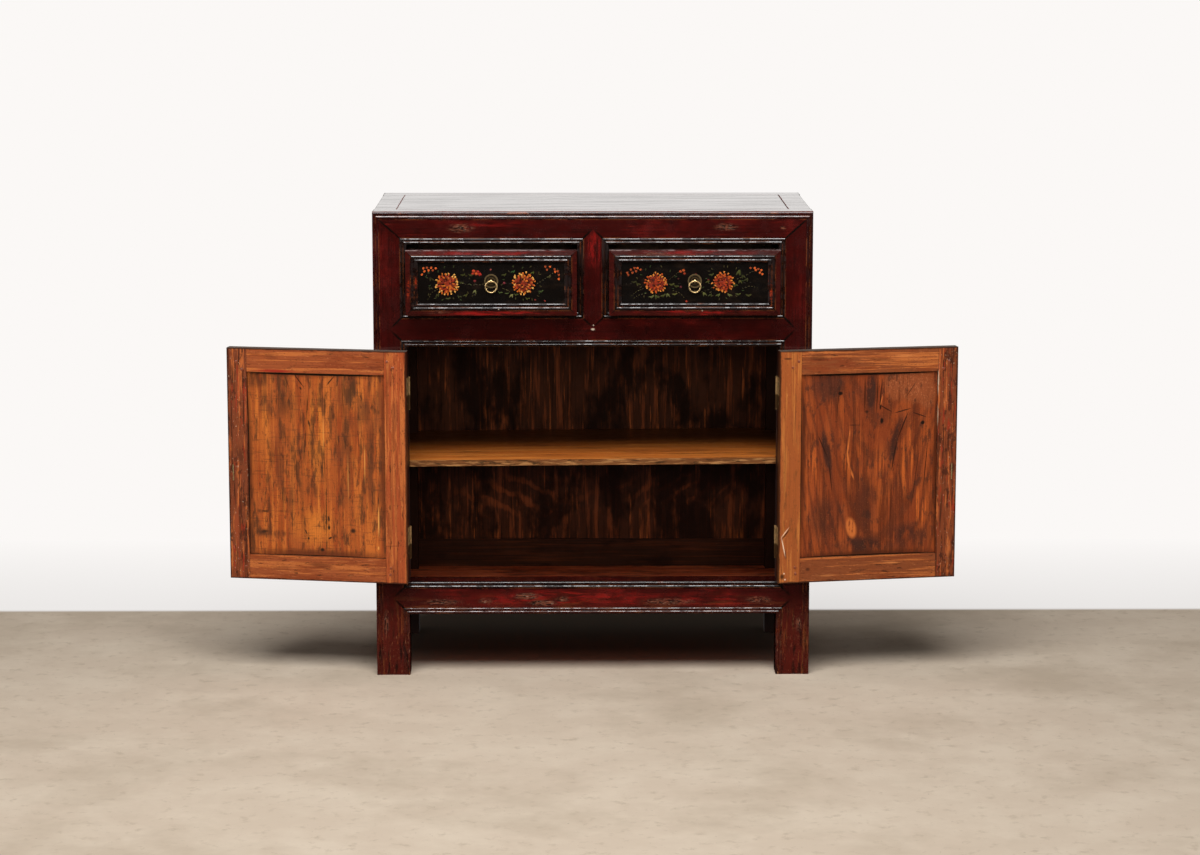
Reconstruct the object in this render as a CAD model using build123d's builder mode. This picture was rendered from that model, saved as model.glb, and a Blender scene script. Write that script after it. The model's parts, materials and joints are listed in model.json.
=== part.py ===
from build123d import *
import os
from math import radians, sqrt, tan

os.makedirs("parts", exist_ok=True)

# A lacquered kang cabinet: two drawers over a two-door cupboard with one shelf.
# X runs to the right, Y runs into the cabinet, Z is up, and the floor is Z = 0.
# The doors stand open and the drawers stand part way out.

# Case
case_width = 860.0
case_depth = 420.0
case_height = 925.0
leg_clear = 124.0            # floor to the underside of the bottom rails
post_width = 66.0
frame_depth = 52.0           # posts and front rails, front to back
top_rail_height = 64.0
drawer_opening_height = 133.0
middle_rail_height = 68.0
bottom_rail_height = 65.0
divider_width = 61.0
side_rail_thickness = 45.0
back_rail_thickness = 24.0
back_rail_rise = 8.0         # the back bottom rail stands higher than the front one

# Double beads along the edges of the frame
outer_bead = 6.0             # each of the two beads on the outer edges of the posts
inner_bead = 6.3             # each of the two beads round the openings
top_bead = 7.6               # each of the two beads under the top
sill_bead = 7.4              # each of the two beads on the cupboard sill
bead_depth = 2.2             # grooves between the beads
field_depth = 1.2            # flat field between two pairs of beads

# Joints of the frame
shoulder_depth = 14.0        # thickness of the pointed shoulders on the face
tenon_setback = 20.0         # face of the frame to the tenon
tenon_thickness = 16.0
tenon_length = 38.0
tenon_margin = 12.0          # rail edge to tenon edge
side_tenon_length = 22.0
side_tenon_thickness = 14.0
side_tenon_inset = 12.0      # outer face of the case to the side tenons
back_tenon_margin = 6.0      # back middle rail to the sides of its tenons
end_play = 0.5               # free space at the ends of tenons and tongues

# Panels
side_panel_thickness = 10.0
side_panel_inset = 12.0      # outer face of the case to the outer face of the side panel
tongue = 8.0                 # how far panels and boards reach into their grooves
tongue_thickness = 6.0
top_board_thickness = 18.0
top_tongue_drop = 8.0        # top surface to the upper side of the tongue
top_shrink_left = 0.5        # joint that the dried boards have opened at the left end
top_shrink_right = 1.6       # and at the right end
board_seam = 0.6
back_panel_thickness = 10.0
back_panel_inset = 12.0      # back of the case to the back of the panel
back_board_count = 3
floor_thickness = 12.0
floor_raise = 2.5            # underside of the rails to the underside of the floor
floor_play = 0.3

# Shelf
shelf_rise = 242.0           # cupboard sill to the top of the shelf, at the middle
shelf_thickness = 12.0
shelf_setback = 30.0         # face of the case to the front edge
shelf_lean = 0.4             # degrees, down to the left
shelf_play = 1.2
batten_width = 20.0
batten_height = 20.0

# Drawers
drawer_play = 0.75           # each side, between the drawer and its opening
drawer_lift = 0.3
drawer_head_room = 5.2       # drawer front to the top rail
drawer_front_thickness = 20.0
drawer_length = 362.0
drawer_out = 58.0            # how far the drawers stand out
drawer_bevel = 10.0          # sloping outer band of the drawer front
drawer_bevel_drop = 2.6
drawer_bead = 7.0            # each of the two beads round the painted panel
drawer_panel_thickness = 8.0
drawer_panel_recess = 5.0
drawer_board = 9.5
drawer_side_drop = 8.0       # top of the drawer front to the top of the sides
drawer_bottom_thickness = 6.0
drawer_bottom_raise = 9.0
drawer_groove = 5.0
runner_height = 24.0
runner_reach = 24.0          # how far a runner reaches under the drawer
runner_width = 38.0
guide_height = 20.0

# Doors
door_thickness = 24.0
door_head_gap = 5.0
door_sill_gap = 3.5
hinge_gap = 1.0
meeting_gap = 3.0
hinge_stile = 43.0
meeting_stile = 39.5
door_top_rail = 47.0
door_bottom_rail = 49.0
door_panel_thickness = 12.0
door_panel_back = 5.0        # inner face of the door to the panel
door_edge_bead = 6.0
door_face_depth = 11.0       # thickness of the mitred front half of the corner joints
door_past = 10.5             # degrees that the open doors stand past a half turn
door_rest_gap = 0.6          # open door to the corner of its post

# Lift-off hinges
hinge_height = 64.0
hinge_radius = 3.0
hinge_pin_radius = 1.5
hinge_pin_play = 0.05
hinge_pin_head = 1.5
hinge_head_radius = 2.3
hinge_inset = 2.5            # opening edge to the hinge axis
hinge_leaf = 1.2
hinge_leaf_width = 18.0
hinge_knuckle_gap = 0.1
upper_hinge_drop = 85.0      # top of the door to the middle of the upper hinge
lower_hinge_rise = 79.5      # bottom of the door to the middle of the lower hinge
screw_radius = 1.2
screw_head_radius = 2.6
screw_length = 13.0
screw_spread = 20.0
screw_edge = 7.2             # inner edge of the leaf to the screws

# Ring pulls
drawer_pull_rise = 3.45      # middle of the drawer front to the split pin
drawer_plate_radius = 13.5
door_plate_radius = 24.0
plate_thickness = 0.9
plate_rim = 2.4
plate_rim_height = 2.0
drawer_ring_radius = 11.0    # centre line of the ring
drawer_ring_wire = 1.4
door_ring_radius = 7.8
door_ring_wire = 1.1
eye_play = 0.5
eye_wire = 1.8
eye_width = 2.4
eye_rise = 4.6               # plate seat to the centre of the eye, drawers
door_eye_rise = 4.2
shank_radius = 1.5
shank_play = 0.1
leg_length = 16.0
leg_width = 2.2
leg_thickness = 0.8
door_pull_drop = 17.75       # split pin below the middle of the door
door_pull_inset = 9.5        # meeting edge to the split pin
spare = 5.0                  # overrun of cutting shapes

# Heights
case_half = case_width / 2
opening_half = case_half - post_width
sill_z = leg_clear + bottom_rail_height
top_rail_z = case_height - top_rail_height
drawer_z = top_rail_z - drawer_opening_height
middle_rail_z = drawer_z - middle_rail_height
divider_half = divider_width / 2

# Depths: the frame's origin is the middle of the floor under the part as it stands
ring_front = eye_rise + drawer_ring_wire + eye_play + eye_wire
front_reach = drawer_out - drawer_panel_recess + ring_front
front_y = (front_reach - case_depth) / 2
back_y = front_y + case_depth
front_post_back_y = front_y + frame_depth
back_post_front_y = back_y - frame_depth

outer_band = 2 * outer_bead
inner_band = 2 * inner_bead
top_band = 2 * top_bead
sill_band = 2 * sill_bead
drawer_band = drawer_bevel + 2 * drawer_bead


def write(piece, name):
    piece.label = name
    export_step(piece, f"parts/{name}.step")


def both_sides(piece):
    # the right-hand piece and its mirror image, as one group
    return Compound(children=[piece, mirror(piece, about=Plane.YZ)])


def write_pair(piece, name):
    # name holds {} where the word left or right goes; the piece given is the right one
    write(piece, name.format("right"))
    write(mirror(piece, about=Plane.YZ), name.format("left"))


def block(x_range, y_range, z_range, mode=Mode.ADD):
    middle = [sum(pair) / 2 for pair in (x_range, y_range, z_range)]
    size = [abs(pair[1] - pair[0]) for pair in (x_range, y_range, z_range)]
    with Locations(tuple(middle)):
        Box(*size, mode=mode)


def facing(depth_y):
    # an upright plane at that depth; extruding by a negative amount goes into the cabinet
    return Plane.XZ.offset(-depth_y)


def moulded_edge(start, along, inward, length, first, last):
    # a moulded face seen from its end: beads, a flat field, and beads; first and last are
    # (how many, how wide) at each end; returns the last point
    def at(distance, depth):
        return Vector(*start) + Vector(*along) * distance + Vector(*inward) * depth

    def beads(begin, count, width):
        for number in range(count):
            left = begin + number * width
            middle = left + width / 2
            ThreePointArc(at(left, bead_depth), at(middle, 0), at(left + width, bead_depth))

    field_start = first[0] * first[1]
    field_end = length - last[0] * last[1]
    beads(0, *first)
    depth_before = bead_depth if first[0] else field_depth
    depth_after = bead_depth if last[0] else field_depth
    points = [at(field_start, depth_before), at(field_start, field_depth)]
    points += [at(field_end, field_depth), at(field_end, depth_after)]
    for near, far in zip(points, points[1:]):
        if (far - near).length > 0:
            Line(near, far)
    beads(field_end, *last)
    return at(length, depth_after)


def corner_bead(corner, before, after, width):
    # a round bead on the corner between two moulded faces, touching both of them
    radius = width + bead_depth - sqrt(2 * width * bead_depth)
    inset = radius * (1 - sqrt(0.5))
    start = Vector(*corner) - Vector(*before) * width + Vector(*after) * bead_depth
    middle = Vector(*corner) - Vector(*before) * inset + Vector(*after) * inset
    end = Vector(*corner) - Vector(*before) * bead_depth + Vector(*after) * width
    ThreePointArc(start, middle, end)


def polygon_cut(plane, points, depth, mode):
    with BuildSketch(plane) as profile:
        with BuildLine():
            Polyline(*points, close=True)
        make_face()
    extrude(profile.sketch, amount=-depth, mode=mode)


def pointed_end(edge, reach, crossing_band, low, high, low_band, high_band):
    # outline of a pointed shoulder, as (along, across) points from low to high
    tip = (edge + reach, (low + high) / 2)
    return [
        (edge, low),
        (edge + crossing_band, low + low_band),
        tip,
        (edge + crossing_band, high - high_band),
        (edge, high),
    ]


def mirrored_points(points):
    return [(-x, z) for x, z in reversed(points)]


# Pointed shoulders of the rails, and the mitre where the top rail meets a post
middle_reach = middle_rail_height / 2
bottom_reach = bottom_rail_height / 2
middle_point = pointed_end(
    opening_half, middle_reach, inner_band, middle_rail_z, drawer_z, inner_band, inner_band
)
bottom_point = pointed_end(
    opening_half, bottom_reach, inner_band, leg_clear, sill_z, inner_band, sill_band
)
mitre_line = [
    (case_half, case_height),
    (case_half - outer_band, case_height - top_band),
    (opening_half + inner_band, top_rail_z + inner_band),
    (opening_half, top_rail_z),
]
post_waste = mitre_line + [
    (opening_half - spare, top_rail_z),
    (opening_half - spare, case_height + spare),
    (case_half, case_height + spare),
]
rail_waste = mitre_line + [
    (opening_half, top_rail_z - spare),
    (case_half + spare, top_rail_z - spare),
    (case_half + spare, case_height),
]
divider_upper = pointed_end(
    top_rail_z, divider_half, inner_band, -divider_half, divider_half, inner_band, inner_band
)
divider_lower = pointed_end(
    -drawer_z, divider_half, inner_band, -divider_half, divider_half, inner_band, inner_band
)
upper_tip = [(x, z) for z, x in divider_upper]
lower_tip = [(x, -z) for z, x in divider_lower]

# Tenon boxes, as (x, y, z) ranges on the right-hand side
front_tenon_y = (front_y + tenon_setback, front_y + tenon_setback + tenon_thickness)
back_tenon_y = (back_y - tenon_setback - tenon_thickness, back_y - tenon_setback)
rail_tenon_x = (opening_half, opening_half + tenon_length)
middle_tenon = (
    rail_tenon_x,
    front_tenon_y,
    (middle_rail_z + tenon_margin, drawer_z - tenon_margin),
)
bottom_tenon = (
    rail_tenon_x,
    front_tenon_y,
    (leg_clear + tenon_margin, sill_z - tenon_margin),
)
corner_tenon_x = (opening_half + tenon_margin, opening_half + tenon_length)
corner_tenon_z = (top_rail_z - tenon_margin, case_height - top_board_thickness)
side_tenon_x = (
    case_half - side_tenon_inset - side_tenon_thickness,
    case_half - side_tenon_inset,
)
side_tenon_levels = [
    (leg_clear + tenon_margin, sill_z - tenon_margin),
    (top_rail_z + tenon_margin, case_height - top_rail_height / 2),
]
back_rail_y = (back_y - back_rail_thickness, back_y)
back_rail_top_z = sill_z + back_rail_rise
back_tenon_inner_y = (
    back_y - (back_rail_thickness + side_tenon_thickness) / 2,
    back_y - (back_rail_thickness - side_tenon_thickness) / 2,
)
back_rail_tenon = (
    rail_tenon_x,
    back_tenon_inner_y,
    (leg_clear + tenon_margin, sill_z - tenon_margin),
)
middle_back_y = (back_post_front_y, back_y - back_panel_inset - back_panel_thickness)
middle_back_z = (drawer_z - runner_height, drawer_z)
middle_back_tenon = (
    (opening_half, opening_half + side_tenon_length),
    (middle_back_y[0] + back_tenon_margin, middle_back_y[1] - back_tenon_margin),
    (middle_back_z[0] + back_tenon_margin, middle_back_z[1] - back_tenon_margin),
)

# Grooves that hold the panels, as (x, y, z) ranges on the right-hand side
side_panel_x = (
    case_half - side_panel_inset - side_panel_thickness,
    case_half - side_panel_inset,
)
side_groove = (
    side_panel_x,
    (front_post_back_y - tongue, back_post_front_y + tongue),
    (sill_z - tongue, top_rail_z + tongue),
)
back_panel_y = (
    back_y - back_panel_inset - back_panel_thickness,
    back_y - back_panel_inset,
)
back_groove = (
    (-opening_half - tongue, opening_half + tongue),
    back_panel_y,
    (back_rail_top_z - tongue, top_rail_z + tongue),
)
side_inner_x = case_half - side_rail_thickness
top_tongue_z = (
    case_height - top_tongue_drop - tongue_thickness,
    case_height - top_tongue_drop,
)
top_groove = (
    (-side_inner_x - tongue, side_inner_x + tongue),
    (front_post_back_y - tongue, back_post_front_y + tongue),
    top_tongue_z,
)
floor_z = (leg_clear + floor_raise, leg_clear + floor_raise + floor_thickness)
floor_tongue_z = (
    floor_z[0] + (floor_thickness - tongue_thickness) / 2,
    floor_z[1] - (floor_thickness - tongue_thickness) / 2,
)
floor_cross_groove = (
    (-opening_half, opening_half),
    (front_post_back_y - tongue, back_rail_y[0] + tongue),
    floor_tongue_z,
)
floor_side_groove = (
    (-side_inner_x - tongue, side_inner_x + tongue),
    (front_post_back_y, back_post_front_y),
    floor_tongue_z,
)


def eased(ranges, play):
    # the same box with that much free space at each end of X, Y and Z
    return [(low + play, high - play) for low, high in ranges]


# Hinges: the axis stands far enough out for the open door to pass the corner of its post
hinge_x = opening_half - hinge_inset
hinge_out = (case_half - hinge_x) * tan(radians(door_past / 2)) + door_rest_gap / 2
hinge_y = front_y - hinge_out
door_swing = 180 + door_past
hinge_axis = Axis((hinge_x, hinge_y, 0), (0, 0, 1))
door_edge_x = opening_half - hinge_gap
door_free_x = meeting_gap / 2
door_z = (sill_z + door_sill_gap, middle_rail_z - door_head_gap)
hinge_heights = (door_z[0] + lower_hinge_rise, door_z[1] - upper_hinge_drop)
screw_offsets = (-screw_spread, screw_spread)
leaf_screw_y = front_y + hinge_leaf_width - screw_edge


def opened(piece):
    # swings a closed right-hand door piece to where the door stands open
    return piece.rotate(hinge_axis, door_swing)


def screw_holes(face_x, direction, radius, length):
    # straight round pieces at every hinge screw, from a face towards one side
    for height in hinge_heights:
        for offset in screw_offsets:
            start = Plane(
                origin=(face_x, leaf_screw_y, height + offset),
                z_dir=(direction, 0, 0),
            )
            with BuildSketch(start) as profile:
                Circle(radius)
            extrude(profile.sketch, amount=length, mode=Mode.SUBTRACT)


# Front posts
with BuildPart() as front_post:
    with BuildSketch():
        with BuildLine():
            moulded_edge(
                (opening_half, front_y),
                (1, 0),
                (0, 1),
                post_width - outer_bead,
                (2, inner_bead),
                (1, outer_bead),
            )
            corner_bead((case_half, front_y), (1, 0), (0, 1), outer_bead)
            rear = moulded_edge(
                (case_half, front_y + outer_bead),
                (0, 1),
                (-1, 0),
                frame_depth - outer_bead,
                (1, outer_bead),
                (2, inner_bead),
            )
            Polyline(
                rear,
                (opening_half, front_post_back_y),
                (opening_half, front_y + bead_depth),
            )
        make_face()
    extrude(amount=case_height)
    polygon_cut(facing(front_y), post_waste, frame_depth, Mode.SUBTRACT)
    polygon_cut(facing(front_y), middle_point, shoulder_depth, Mode.SUBTRACT)
    polygon_cut(facing(front_y), bottom_point, shoulder_depth, Mode.SUBTRACT)
    block(*middle_tenon, mode=Mode.SUBTRACT)
    block(*bottom_tenon, mode=Mode.SUBTRACT)
    for level in side_tenon_levels:
        block(
            side_tenon_x,
            (front_post_back_y - side_tenon_length, front_post_back_y),
            level,
            mode=Mode.SUBTRACT,
        )
    block(*side_groove, mode=Mode.SUBTRACT)
    block(corner_tenon_x, front_tenon_y, corner_tenon_z)
    for height in hinge_heights:
        block(
            (opening_half, opening_half + hinge_leaf),
            (front_y - spare, front_y + hinge_leaf_width),
            (height - hinge_height / 2, height + hinge_height / 2),
            mode=Mode.SUBTRACT,
        )
    screw_holes(opening_half, 1, screw_radius, screw_length)
    screw_holes(opening_half, 1, screw_head_radius, hinge_leaf)
write_pair(front_post.part, "post_front_{}")

# Back posts: moulded on the outer side, plain at the back
with BuildPart() as back_post:
    with BuildSketch():
        with BuildLine():
            rear = moulded_edge(
                (case_half, back_post_front_y),
                (0, 1),
                (-1, 0),
                frame_depth,
                (2, inner_bead),
                (2, outer_bead),
            )
            Polyline(
                rear,
                (opening_half, back_y),
                (opening_half, back_post_front_y),
                (case_half - bead_depth, back_post_front_y),
            )
        make_face()
    extrude(amount=case_height)
    polygon_cut(facing(back_post_front_y), post_waste, frame_depth, Mode.SUBTRACT)
    block(*back_rail_tenon, mode=Mode.SUBTRACT)
    block(*middle_back_tenon, mode=Mode.SUBTRACT)
    for level in side_tenon_levels:
        block(
            side_tenon_x,
            (back_post_front_y, back_post_front_y + side_tenon_length),
            level,
            mode=Mode.SUBTRACT,
        )
    block(*side_groove, mode=Mode.SUBTRACT)
    block(*back_groove, mode=Mode.SUBTRACT)
    block(corner_tenon_x, back_tenon_y, corner_tenon_z)
write_pair(back_post.part, "post_back_{}")


def front_bar(half_length, low, high, lower_beads, upper_beads):
    # a level bar of the face frame, moulded on its front
    with BuildSketch(Plane.YZ.offset(-half_length)) as profile:
        with BuildLine():
            end = moulded_edge(
                (front_y, low), (0, 1), (1, 0), high - low, lower_beads, upper_beads
            )
            Polyline(
                end,
                (front_post_back_y, high),
                (front_post_back_y, low),
                (front_y + bead_depth, low),
            )
        make_face()
    extrude(profile.sketch, amount=2 * half_length)


def corner_mortises(tenon_y):
    for side in (-1, 1):
        x_range = (side * corner_tenon_x[0], side * corner_tenon_x[1])
        block(x_range, tenon_y, corner_tenon_z, mode=Mode.SUBTRACT)


# Top rails
divider_tenon_half = divider_half - tenon_margin
divider_tenon_x = (-divider_tenon_half, divider_tenon_half)
divider_tenon_top = (top_rail_z, top_rail_z + divider_half)
divider_tenon_bottom = (drawer_z - divider_half, drawer_z)

with BuildPart() as top_rail_front:
    front_bar(case_half, top_rail_z, case_height, (2, inner_bead), (2, top_bead))
    for outline in (rail_waste, mirrored_points(rail_waste)):
        polygon_cut(facing(front_y), outline, frame_depth, Mode.SUBTRACT)
    corner_mortises(front_tenon_y)
    polygon_cut(facing(front_y), upper_tip, shoulder_depth, Mode.SUBTRACT)
    block(divider_tenon_x, front_tenon_y, divider_tenon_top, mode=Mode.SUBTRACT)
    block(*top_groove, mode=Mode.SUBTRACT)
write(top_rail_front.part, "top_rail_front")

with BuildPart() as top_rail_back:
    block(
        (-case_half, case_half), (back_post_front_y, back_y), (top_rail_z, case_height)
    )
    for outline in (rail_waste, mirrored_points(rail_waste)):
        polygon_cut(facing(back_post_front_y), outline, frame_depth, Mode.SUBTRACT)
    corner_mortises(back_tenon_y)
    block(*back_groove, mode=Mode.SUBTRACT)
    block(*top_groove, mode=Mode.SUBTRACT)
write(top_rail_back.part, "top_rail_back")


def side_bar(low, high, lower_beads, upper_beads, tenon_level):
    # a level bar of the right-hand side, moulded on its outer face, with a tenon at each end
    with BuildSketch(facing(front_post_back_y)) as profile:
        with BuildLine():
            end = moulded_edge(
                (case_half, low), (0, 1), (-1, 0), high - low, lower_beads, upper_beads
            )
            Polyline(
                end,
                (side_inner_x, high),
                (side_inner_x, low),
                (case_half - bead_depth, low),
            )
        make_face()
    extrude(profile.sketch, amount=-(back_post_front_y - front_post_back_y))
    tenon_y = (
        front_post_back_y - side_tenon_length + end_play,
        back_post_front_y + side_tenon_length - end_play,
    )
    block(side_tenon_x, tenon_y, tenon_level)


with BuildPart() as top_rail_side:
    side_bar(
        top_rail_z, case_height, (2, inner_bead), (2, top_bead), side_tenon_levels[1]
    )
    block(*side_groove, mode=Mode.SUBTRACT)
    block(*top_groove, mode=Mode.SUBTRACT)
write_pair(top_rail_side.part, "top_rail_{}")

with BuildPart() as bottom_rail_side:
    side_bar(
        leg_clear, sill_z, (2, inner_bead), (2, inner_bead), side_tenon_levels[0]
    )
    block(*side_groove, mode=Mode.SUBTRACT)
    block(*floor_side_groove, mode=Mode.SUBTRACT)
write_pair(bottom_rail_side.part, "bottom_rail_{}")


def pointed_rail(low, high, lower_beads, upper_beads, outline, tenon):
    # a front rail with pointed shoulders on its face and a tenon behind each of them
    reach = max(x for x, z in outline)
    front_bar(reach, low, high, lower_beads, upper_beads)
    whole = outline + mirrored_points(outline)
    polygon_cut(facing(front_y), whole, frame_depth, Mode.INTERSECT)
    for side in (-1, 1):
        block(
            (side * opening_half, side * (reach + spare)),
            (front_y + shoulder_depth, front_post_back_y),
            (low, high),
            mode=Mode.SUBTRACT,
        )
        x_range = (side * tenon[0][0], side * (tenon[0][1] - end_play))
        block(x_range, tenon[1], tenon[2])


with BuildPart() as middle_rail_front:
    pointed_rail(
        middle_rail_z,
        drawer_z,
        (2, inner_bead),
        (2, inner_bead),
        middle_point,
        middle_tenon,
    )
    polygon_cut(facing(front_y), lower_tip, shoulder_depth, Mode.SUBTRACT)
    block(divider_tenon_x, front_tenon_y, divider_tenon_bottom, mode=Mode.SUBTRACT)
write(middle_rail_front.part, "middle_rail_front")

with BuildPart() as bottom_rail_front:
    pointed_rail(
        leg_clear, sill_z, (2, inner_bead), (2, sill_bead), bottom_point, bottom_tenon
    )
    block(*floor_cross_groove, mode=Mode.SUBTRACT)
write(bottom_rail_front.part, "bottom_rail_front")

# Divider between the drawers, with a pointed shoulder and a tenon at each end
with BuildPart() as drawer_divider:
    foot_z = drawer_z - divider_half
    head_z = top_rail_z + divider_half
    with BuildSketch(Plane.XY.offset(foot_z)):
        with BuildLine():
            end = moulded_edge(
                (-divider_half, front_y),
                (1, 0),
                (0, 1),
                divider_width,
                (2, inner_bead),
                (2, inner_bead),
            )
            Polyline(
                end,
                (divider_half, front_post_back_y),
                (-divider_half, front_post_back_y),
                (-divider_half, front_y + bead_depth),
            )
        make_face()
    extrude(amount=head_z - foot_z)
    polygon_cut(
        facing(front_y),
        upper_tip + list(reversed(lower_tip)),
        frame_depth,
        Mode.INTERSECT,
    )
    for z_range in ((foot_z, drawer_z), (top_rail_z, head_z)):
        block(
            (-divider_half, divider_half),
            (front_y + shoulder_depth, front_post_back_y),
            z_range,
            mode=Mode.SUBTRACT,
        )
    block(
        divider_tenon_x,
        front_tenon_y,
        (divider_tenon_bottom[0] + end_play, divider_tenon_top[1] - end_play),
    )
write(drawer_divider.part, "drawer_divider")

# Back rails
with BuildPart() as bottom_rail_back:
    block((-opening_half, opening_half), back_rail_y, (leg_clear, back_rail_top_z))
    reach = back_rail_tenon[0][1] - end_play
    block((-reach, reach), back_rail_tenon[1], back_rail_tenon[2])
    block(*back_groove, mode=Mode.SUBTRACT)
    block(*floor_cross_groove, mode=Mode.SUBTRACT)
write(bottom_rail_back.part, "bottom_rail_back")

with BuildPart() as middle_rail_back:
    block((-opening_half, opening_half), middle_back_y, middle_back_z)
    reach = middle_back_tenon[0][1] - end_play
    block((-reach, reach), middle_back_tenon[1], middle_back_tenon[2])
write(middle_rail_back.part, "middle_rail_back")

# Side panels, in grooves all round
with BuildPart() as side_panel:
    x_range = side_groove[0]
    y_range, z_range = eased(side_groove[1:], end_play)
    block(x_range, y_range, z_range)
write_pair(side_panel.part, "side_panel_{}")

# Back panel of level boards
back_bottom_z = back_groove[2][0] + end_play
back_top_z = back_groove[2][1] - end_play
back_board_height = (back_top_z - back_bottom_z) / back_board_count
back_x = opening_half + tongue - end_play
with BuildPart() as back_panel:
    for number in range(back_board_count):
        low = back_bottom_z + number * back_board_height
        high = low + back_board_height - board_seam
        block((-back_x, back_x), back_panel_y, (low, high))
write(back_panel.part, "back_panel")

# Two boards of the top, tongued into the rails
top_middle_y = (front_post_back_y + back_post_front_y) / 2
top_under_z = case_height - top_board_thickness
with BuildPart() as top_boards:
    block(
        (-side_inner_x + top_shrink_left, side_inner_x - top_shrink_right),
        (front_post_back_y, back_post_front_y),
        (top_under_z, case_height),
    )
    x_range, y_range = eased(top_groove[:2], end_play)
    block(x_range, y_range, top_tongue_z)
    block(
        (-case_half, case_half),
        (top_middle_y - board_seam / 2, top_middle_y + board_seam / 2),
        (top_under_z - spare, case_height + spare),
        mode=Mode.SUBTRACT,
    )
write(top_boards.part, "top_boards")

# Cupboard floor, tongued into the bottom rails
with BuildPart() as cupboard_floor:
    cross_x = opening_half - floor_play
    wide_x = side_inner_x - floor_play
    front_in = front_post_back_y + floor_play
    back_in = back_post_front_y - floor_play
    block((-cross_x, cross_x), (front_in, back_rail_y[0] - floor_play), floor_z)
    block((-wide_x, wide_x), (front_in, back_in), floor_z)
    block(
        (-cross_x, cross_x),
        (floor_cross_groove[1][0] + end_play, floor_cross_groove[1][1] - end_play),
        floor_tongue_z,
    )
    tongue_x = floor_side_groove[0][1] - end_play
    block((-tongue_x, tongue_x), (front_in, back_in), floor_tongue_z)
write(cupboard_floor.part, "cupboard_floor")

# Shelf on two battens, all leaning a little to the left
shelf_height = sill_z + shelf_rise
shelf_under_z = shelf_height - shelf_thickness
lean_axis = Axis((0, front_y, shelf_height), (0, 1, 0))
shelf_end_x = side_panel_x[0] - shelf_play
with BuildPart() as shelf:
    shelf_z = (shelf_under_z, shelf_height)
    shelf_back_y = back_panel_y[0] - shelf_play
    block(
        (-opening_half + shelf_play, opening_half - shelf_play),
        (front_y + shelf_setback, shelf_back_y),
        shelf_z,
    )
    block(
        (-shelf_end_x, shelf_end_x),
        (front_post_back_y + shelf_play, back_post_front_y - shelf_play),
        shelf_z,
    )
write(shelf.part.rotate(lean_axis, -shelf_lean), "shelf")

with BuildPart() as shelf_battens:
    for side in (-1, 1):
        block(
            (side * (shelf_end_x + shelf_play / 2), side * (shelf_end_x - batten_width)),
            (front_post_back_y, back_post_front_y),
            (shelf_under_z - batten_height, shelf_under_z),
        )
write(shelf_battens.part.rotate(lean_axis, -shelf_lean), "shelf_battens")

# Drawer runners, each with a guide between the drawers or beside them
runner_y = (front_post_back_y, back_post_front_y)
runner_z = (drawer_z - runner_height, drawer_z)
guide_z = (drawer_z, drawer_z + guide_height)
with BuildPart() as drawer_runners:
    for side in (-1, 1):
        inner_x = opening_half - runner_reach
        block((side * inner_x, side * (inner_x + runner_width)), runner_y, runner_z)
        block(
            (side * opening_half, side * (inner_x + runner_width)), runner_y, guide_z
        )
    centre_x = divider_half + runner_reach
    block((-centre_x, centre_x), runner_y, runner_z)
    block((-divider_half, divider_half), runner_y, guide_z)
write(drawer_runners.part, "drawer_runners")

# Drawers, at the place where they stand part way out
drawer_x = (divider_half + drawer_play, opening_half - drawer_play)
drawer_front_z = (drawer_z + drawer_lift, top_rail_z - drawer_head_room)
drawer_face_y = front_y - drawer_out
drawer_box_y = drawer_face_y + drawer_front_thickness
drawer_back_y = drawer_face_y + drawer_length
drawer_width = drawer_x[1] - drawer_x[0]
drawer_front_height = drawer_front_z[1] - drawer_front_z[0]
drawer_middle_x = sum(drawer_x) / 2
drawer_middle_z = sum(drawer_front_z) / 2
pull_height = drawer_middle_z + drawer_pull_rise
panel_face_y = drawer_face_y + drawer_panel_recess
panel_x = (drawer_x[0] + drawer_band, drawer_x[1] - drawer_band)
panel_z = (drawer_front_z[0] + drawer_band, drawer_front_z[1] - drawer_band)
panel_y = (panel_face_y, panel_face_y + drawer_panel_thickness)


def drawer_member(length, turn):
    # one mitred member of the drawer front, laid out along X with its outer edge downward
    half = length / 2
    base = Plane.YZ.offset(-half)
    with BuildPart() as member:
        with BuildSketch(base) as profile:
            with BuildLine():
                Line((drawer_bevel_drop, 0), (0, drawer_bevel))
                Line((0, drawer_bevel), (bead_depth, drawer_bevel))
                for number in range(2):
                    low = drawer_bevel + number * drawer_bead
                    ThreePointArc(
                        (bead_depth, low),
                        (0, low + drawer_bead / 2),
                        (bead_depth, low + drawer_bead),
                    )
                groove_front = drawer_panel_recess
                groove_back = drawer_panel_recess + drawer_panel_thickness
                Polyline(
                    (bead_depth, drawer_band),
                    (groove_front, drawer_band),
                    (groove_front, drawer_band - drawer_groove),
                    (groove_back, drawer_band - drawer_groove),
                    (groove_back, drawer_band),
                    (drawer_front_thickness, drawer_band),
                    (drawer_front_thickness, 0),
                    (drawer_bevel_drop, 0),
                )
            make_face()
        extrude(profile.sketch, amount=length)
        outline = [
            (-half, 0),
            (half, 0),
            (half - drawer_band, drawer_band),
            (-half + drawer_band, drawer_band),
        ]
        polygon_cut(Plane.XZ, outline, drawer_front_thickness, Mode.INTERSECT)
    return member.part.rotate(Axis.Y, turn)


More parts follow.
